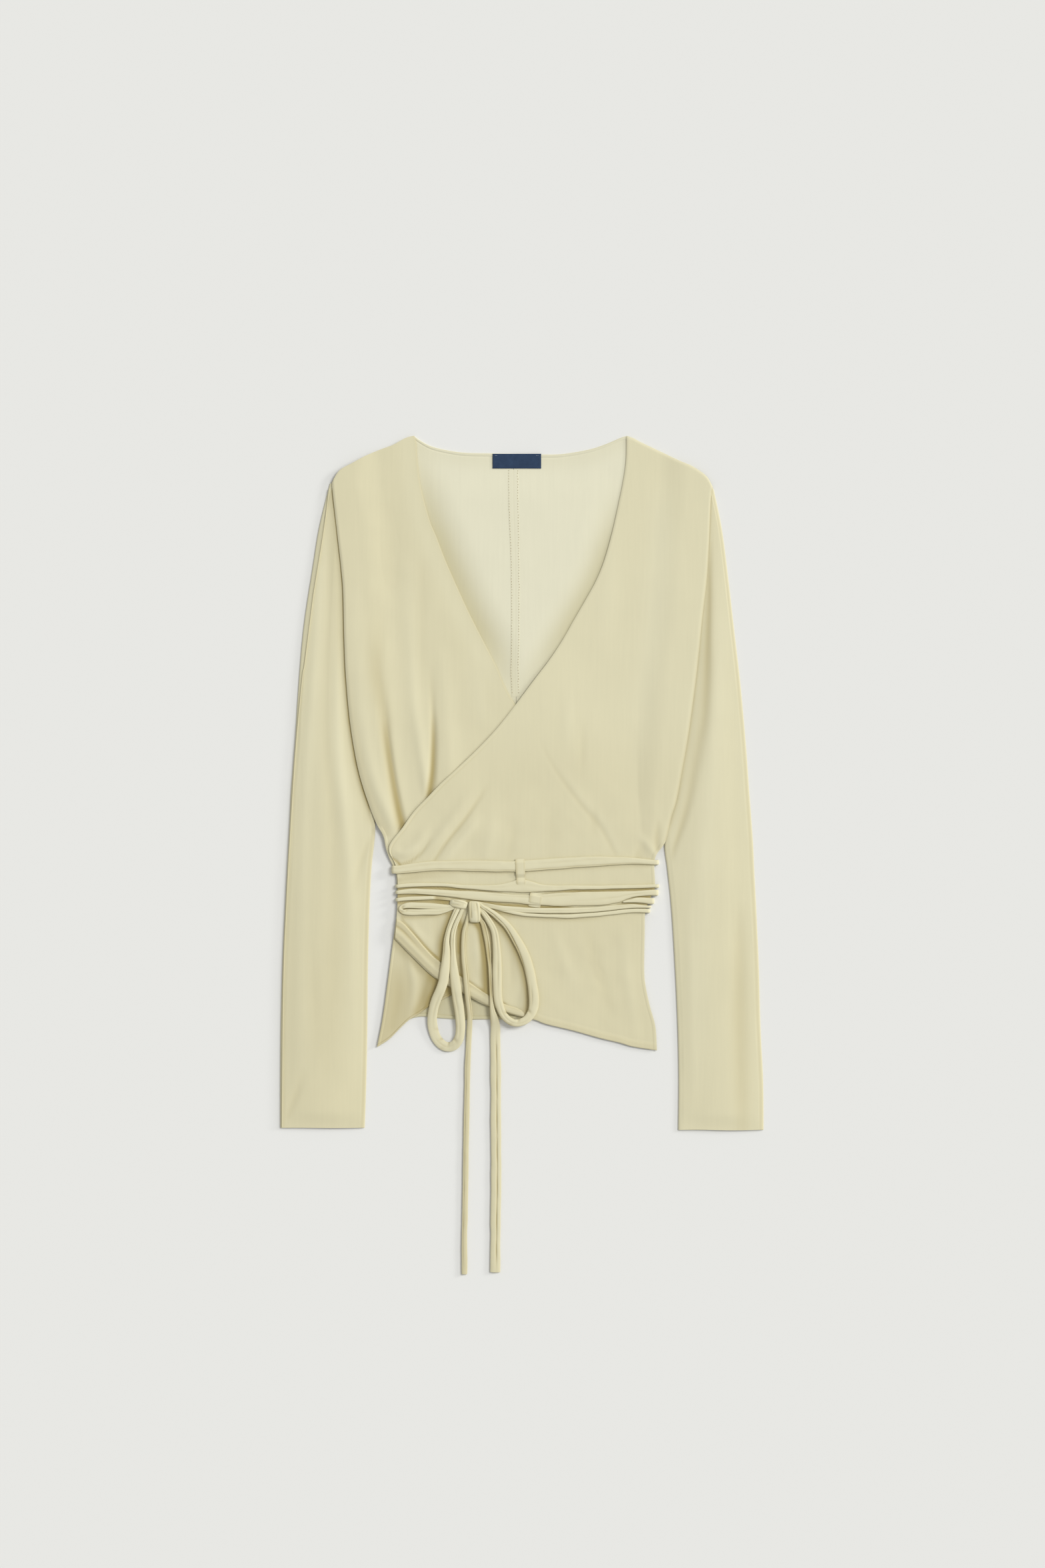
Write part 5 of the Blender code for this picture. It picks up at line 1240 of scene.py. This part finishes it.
def sleeve(name, table, folds, front_side, gap_shade, node_name, cuff_wave, base_tone):
    """A flattened sleeve: an open tube, flat below, with rounded edges and a crowned top.

    The gap argument is the painted shade beside the front's folded side, cuff_wave how uneven the cuff is,
    and the last argument the painted shade at the top and towards the cuff.
    """
    y = np.linspace(table[0][0], table[-1][0], SLEEVE_ROWS + 1)
    outer, inner, fold = (read(table, y, column)[:, None] for column in (1, 2, 3))
    low = np.minimum(outer, inner)
    high = np.maximum(outer, inner)
    radius = SLEEVE_EDGE_THICK / 2
    left_angles = np.radians(np.linspace(270, 90, EDGE_POINTS))
    right_angles = np.radians(np.linspace(90, -90, EDGE_POINTS))
    top_share = np.arange(1, SLEEVE_TOP) / SLEEVE_TOP
    under_share = np.arange(1, EDGE_POINTS + 1)[::-1] / (EDGE_POINTS + 1)
    down = np.broadcast_to(y[:, None], (len(y), SLEEVE_TOP - 1))
    x = low + SLEEVE_EDGE + (high - low - 2 * SLEEVE_EDGE) * top_share
    seen = (x - outer) / (fold - outer)
    shown = (seen > 0) & (seen < 1)
    crown = SLEEVE_CROWN * np.minimum(1.0, np.abs(fold - outer) / 60.0)
    relief, fold_shade = fold_relief(x, down, folds)
    bulge = 4 * seen * (1 - seen) * crown * shown + relief * (seen < 1) + 0.08 * unevenness(x, down, 24.0, 6)
    inward = np.minimum(x - low, high - x)
    bulge += (SLEEVE_THICK - 2 * radius) * smooth_step(inward, SLEEVE_EDGE, 36.0)
    bulge *= 1.0 - 0.75 * smooth_step(-y, -table[-1][0] - 16.0, -table[-1][0])[:, None]
    # Painted shade in the gap beside the front's folded side
    side_x = read(by_y(front_side), y, 1)[:, None]
    gap = np.abs(x - side_x)
    width = 0.9 + 1.3 * smooth_step(-y, -200.0, 20.0)[:, None]
    beside = gap_shade * (bell(gap, width) + 0.3 * bell(gap, 8.0))
    beside *= smooth_step(y, CROTCH_LEFT - 10.0, CROTCH_LEFT + 10.0)[:, None]

    def ring(inset):
        reach = SLEEVE_EDGE - inset
        size = radius - inset
        parts = []
        for angles, middle in ((left_angles, low + SLEEVE_EDGE), (right_angles, high - SLEEVE_EDGE)):
            along = np.broadcast_to(y[:, None], (len(y), EDGE_POINTS))
            parts.append(np.stack([middle + reach * np.cos(angles), along,
                                   radius + np.broadcast_to(size * np.sin(angles), along.shape)], axis=-1))
        top = np.stack([x, down, 2 * radius - inset + np.maximum(bulge, -0.5)], axis=-1)
        under_x = low + SLEEVE_EDGE + (high - low - 2 * SLEEVE_EDGE) * under_share
        under_y = np.broadcast_to(y[:, None], under_x.shape)
        under = np.stack([under_x, under_y, np.full(under_x.shape, inset)], axis=-1)
        rings = np.concatenate([parts[0], top, parts[1], under], axis=1)
        last = smooth_step(-y, -table[-1][0] - 9.0, -table[-1][0])[:, None]
        rings[..., 1] += last * cuff_wave * np.sin((rings[..., 0] - low) / 11.0) * (rings[..., 2] > radius)
        return rings

    outside = ring(0.0)
    inside = ring(CLOTH)
    rows, columns = outside.shape[:2]
    count = rows * columns
    tone = np.zeros((rows, columns))
    # Painted shade over the sleeve, darker towards the cuff, in its folds and beside the front, painted
    # highlight on its ridges, and painted shade on the rounded edge at its right to tone down the light
    # there
    tone += base_tone[0] + (base_tone[1] - base_tone[0]) * smooth_step(-y, -100.0, 200.0)[:, None]
    tone[:, EDGE_POINTS:EDGE_POINTS + SLEEVE_TOP - 1] += np.clip(fold_shade * shown + beside, -0.3, 1.4)
    tone[:, EDGE_POINTS + SLEEVE_TOP - 1:2 * EDGE_POINTS + SLEEVE_TOP - 1] += 0.22
    faces = grid_faces(rows, columns, wrap=True) + grid_faces(rows, columns, count, wrap=True, flip=True)
    for row in (0, rows - 1):
        first = row * columns + np.arange(columns)
        second = np.roll(first, -1)
        for a, b in zip(first.tolist(), second.tolist()):
            quad = (a, b, b + count, a + count)
            faces.append(quad[::-1] if row else quad)
    points = np.vstack([outside.reshape(-1, 3), inside.reshape(-1, 3)])
    made = add_mesh(name, points, faces, cloth, node_name=node_name,
                    tone=np.concatenate([tone.ravel(), tone.ravel()]))
    closed = np.concatenate([outside, outside[:, :1]], axis=1)
    girth = np.linalg.norm(np.diff(closed, axis=1), axis=2).sum(axis=1)
    area = float(np.trapz(girth, -y)) * MM * MM
    return made, float(girth.max()) * MM, area


# The left sleeve takes more painted shade than the right
sleeve_left, girth_left, area_left = sleeve(
    "sleeve_tube_left", smooth_left, FOLDS_SLEEVE_LEFT, SIDE_LEFT, 1.3, "sleeve_left", 0.15, (0.04, 0.20))
sleeve_right, girth_right, area_right = sleeve(
    "sleeve_tube_right", smooth_right, FOLDS_SLEEVE_RIGHT, SIDE_RIGHT, 0.35, "sleeve_right", 0.3,
    (0.0, 0.06))


# Label and sewing

def label():
    """A bare woven label, its ends folded under, sewn flat to the back neck."""
    x = np.linspace(LABEL_X[0], LABEL_X[1], 60)
    y = np.linspace(LABEL_Y[0], LABEL_Y[1], 22)
    grid_x, grid_y = np.meshgrid(x, y)
    edge = np.minimum(np.minimum(grid_x - x[0], x[-1] - grid_x), np.minimum(y[0] - grid_y, grid_y - y[-1]))
    top = ON_BACK + LABEL_THICK - 0.3 * (1 - np.clip(edge / 0.9, 0, 1)) ** 2 + 0.08 * np.sin(grid_x / 7.0)
    under = np.full(grid_x.shape, WALL + 0.02)
    shell("label", np.stack([grid_x, grid_y, top], axis=-1), np.stack([grid_x, grid_y, under], axis=-1),
          label_cloth, node_name="neck_label", slot="woven_label")


label()


def stitch_row(name, path, pitch, length, width, height, rise, surface, slot, jitter=0.0, seed=7):
    """A row of small raised stitches along a path, as one mesh; height gives the cloth's top at a point."""
    line = curve(path, 400)
    total = lengths_along(line)[-1]
    rng = np.random.default_rng(seed)
    points = []
    faces = []
    angle = np.linspace(0, 2 * math.pi, 6, endpoint=False)
    for start in np.arange(0.0, total - 2 * length, pitch):
        start += rng.uniform(0.0, jitter) * 3.0
        a, b = resample(line, [start, start + length * rng.uniform(0.7, 1.2)])
        direction = (b - a) / np.linalg.norm(b - a)
        normal = np.array([-direction[1], direction[0]])
        shift = normal * rng.normal(0.0, jitter)
        base = len(points)
        level = float(height(a[0], a[1]))
        for share, size in ((0.0, 0.35), (0.2, 0.9), (0.5, 1.0), (0.8, 0.9), (1.0, 0.35)):
            centre_point = a + (b - a) * share + shift
            for turn in angle:
                across = math.cos(turn) * width / 2 * size
                up = math.sin(turn) * rise / 2 * size
                points.append((centre_point[0] + normal[0] * across, centre_point[1] + normal[1] * across,
                               level + up))
        for ring_index in range(4):
            for corner in range(6):
                first = base + ring_index * 6 + corner
                second = base + ring_index * 6 + (corner + 1) % 6
                faces.append((first, second, second + 6, first + 6))
        faces.append(tuple(base + corner for corner in range(6))[::-1])
        faces.append(tuple(base + 24 + corner for corner in range(6)))
    add_mesh(name, points, faces, surface, slot=slot)


STITCH_LEFT = [(-12.3, 293.6), (-12.0, 259), (-10.4, 221.7), (-9.8, 196.7), (-9.5, 159), (-9.8, 121.7),
               (-10.1, 103), (-8.9, 81)]
STITCH_RIGHT = [(-4.2, 293.6), (-3.6, 246.7), (-2.9, 196.7), (-2.9, 146.7), (-3.6, 109), (-3.3, 81)]


def on_allowance(x, y):
    """The top of the centre seam's allowances, which lie on the back's inside."""
    point_x = np.atleast_1d(np.asarray(x, dtype=float))
    point_y = np.atleast_1d(np.asarray(y, dtype=float))
    level = WALL + 0.15 + back_rise(point_x, point_y)
    return level if np.ndim(x) else level[0]


def on_label(x, y):
    return ON_BACK + LABEL_THICK


def seam_allowance():
    """The centre seam's allowances, pressed open on the inside of the back and sewn down."""
    left = curve([(x - 0.9, y) for x, y in STITCH_LEFT], 150)
    right = curve([(x + 0.9, y) for x, y in STITCH_RIGHT], 150)
    share = np.linspace(0.0, 1.0, 25)[None, :, None]
    plan = left[:, None] * (1 - share) + right[:, None] * share
    across = np.broadcast_to(np.abs(share[..., 0] * 2 - 1), plan.shape[:2])
    level = on_allowance(plan[..., 0], plan[..., 1])
    top = level - 0.04 * bell(across, 0.14) - 0.10 * smooth_step(across, 0.80, 1.0)
    upper = np.concatenate([plan, top[..., None]], axis=-1)
    lower = np.concatenate([plan, level[..., None] - 0.45], axis=-1)
    # Painted shade as on the back beside the neck edges, with a little more along the seam's middle
    tone = 0.12 + back_shade(plan[..., 0], plan[..., 1]) + 0.08 * bell(across, 0.08)
    shell("seam_allowance", upper, lower, cloth_inside, slot="jersey_inside", tone=tone)


seam_allowance()
stitch_row("stitches_left", STITCH_LEFT, 2.6, 1.1, 0.55, on_allowance, 0.34, thread, "jersey_inside",
           0.10, 3)
stitch_row("stitches_right", STITCH_RIGHT, 2.6, 1.1, 0.6, on_allowance, 0.36, thread, "jersey_inside",
           0.16, 4)
for side_name, corner_x in (("left", -25.5), ("right", 13.2)):
    stitch_row(f"label_stitches_{side_name}",
               [(corner_x, 307.0), (corner_x + 1.5, 306.9), (corner_x + 4.0, 307.0)], 1.4, 1.0, 0.4,
               on_label, 0.35, label_thread, "woven_label")

# The overarm seam just inside the left sleeve's outer edge
OVERARM_SEAM = [(-180.5, 276), (-185.5, 238), (-193.5, 188), (-196, 171.5), (-203.5, 112), (-205.6, 100),
                (-211.8, 33.5), (-216, -30), (-220.4, -110), (-223.5, -190), (-224.8, -322)]


def overarm_seam():
    """A fine ridge of cloth along the left sleeve's seam, on its crown."""
    rows = [(x, y, SLEEVE_THICK - 0.08, 0.9, 0.7) for x, y in OVERARM_SEAM]
    stations = curve(rows, 220)
    inset = stations[:, 0] - read(smooth_left, stations[:, 1], 1)
    edge = np.clip((1.4 - inset) / 1.4, 0, 1)
    crown = 4 * np.clip(inset / 60.0, 0, 0.25) * SLEEVE_CROWN
    stations[:, 2] += crown - 0.55 * edge ** 2
    rings = strand_rings(stations)[0]
    # The seam's ridge takes an even painted shade along its line
    loft("overarm_seam", rings, cloth, tone=np.full(rings.shape[:2], 0.35).ravel())


overarm_seam()


# Surface, light

def add_stage():
    """The pale surface that the top lies on."""
    size = 6.0
    mesh = bpy.data.meshes.new("surface")
    corners = [(-size, -size, 0), (size, -size, 0), (size, size, 0), (-size, size, 0)]
    mesh.from_pydata(corners, [], [(0, 1, 2, 3)])
    made = bpy.data.objects.new("surface", mesh)
    bpy.context.scene.collection.objects.link(made)
    material = new_material("surface", {
        "Base Color": (0.80, 0.80, 0.77, 1.0), "Roughness": 0.95, "Specular IOR Level": 0.1})[0]
    mesh.materials.append(material)


def add_sun(name, energy, spread, direction):
    """A sun that shines from a direction, with its spread in degrees."""
    light = bpy.data.lights.new(name, "SUN")
    light.energy = energy
    light.angle = math.radians(spread)
    made = bpy.data.objects.new(name, light)
    azimuth = math.atan2(direction[1], direction[0])
    tilt = math.acos(direction[2] / math.hypot(*direction))
    made.rotation_euler = (0.0, tilt, azimuth)
    bpy.context.scene.collection.objects.link(made)


def add_light():
    """A broad key light from the upper right, a weak low one for long shadows, and white surroundings."""
    add_sun("key", 1.72, 24.0, (0.56, 0.36, 0.76))
    add_sun("low", 1.15, 11.0, (0.90, 0.34, 0.27))
    world = bpy.data.worlds.new("studio")
    world.use_nodes = True
    background = world.node_tree.nodes["Background"]
    background.inputs["Color"].default_value = (1.0, 1.0, 1.0, 1.0)
    background.inputs["Strength"].default_value = 0.495
    bpy.context.scene.world = world
    bpy.context.scene.view_settings.view_transform = "Standard"


add_stage()
add_light()
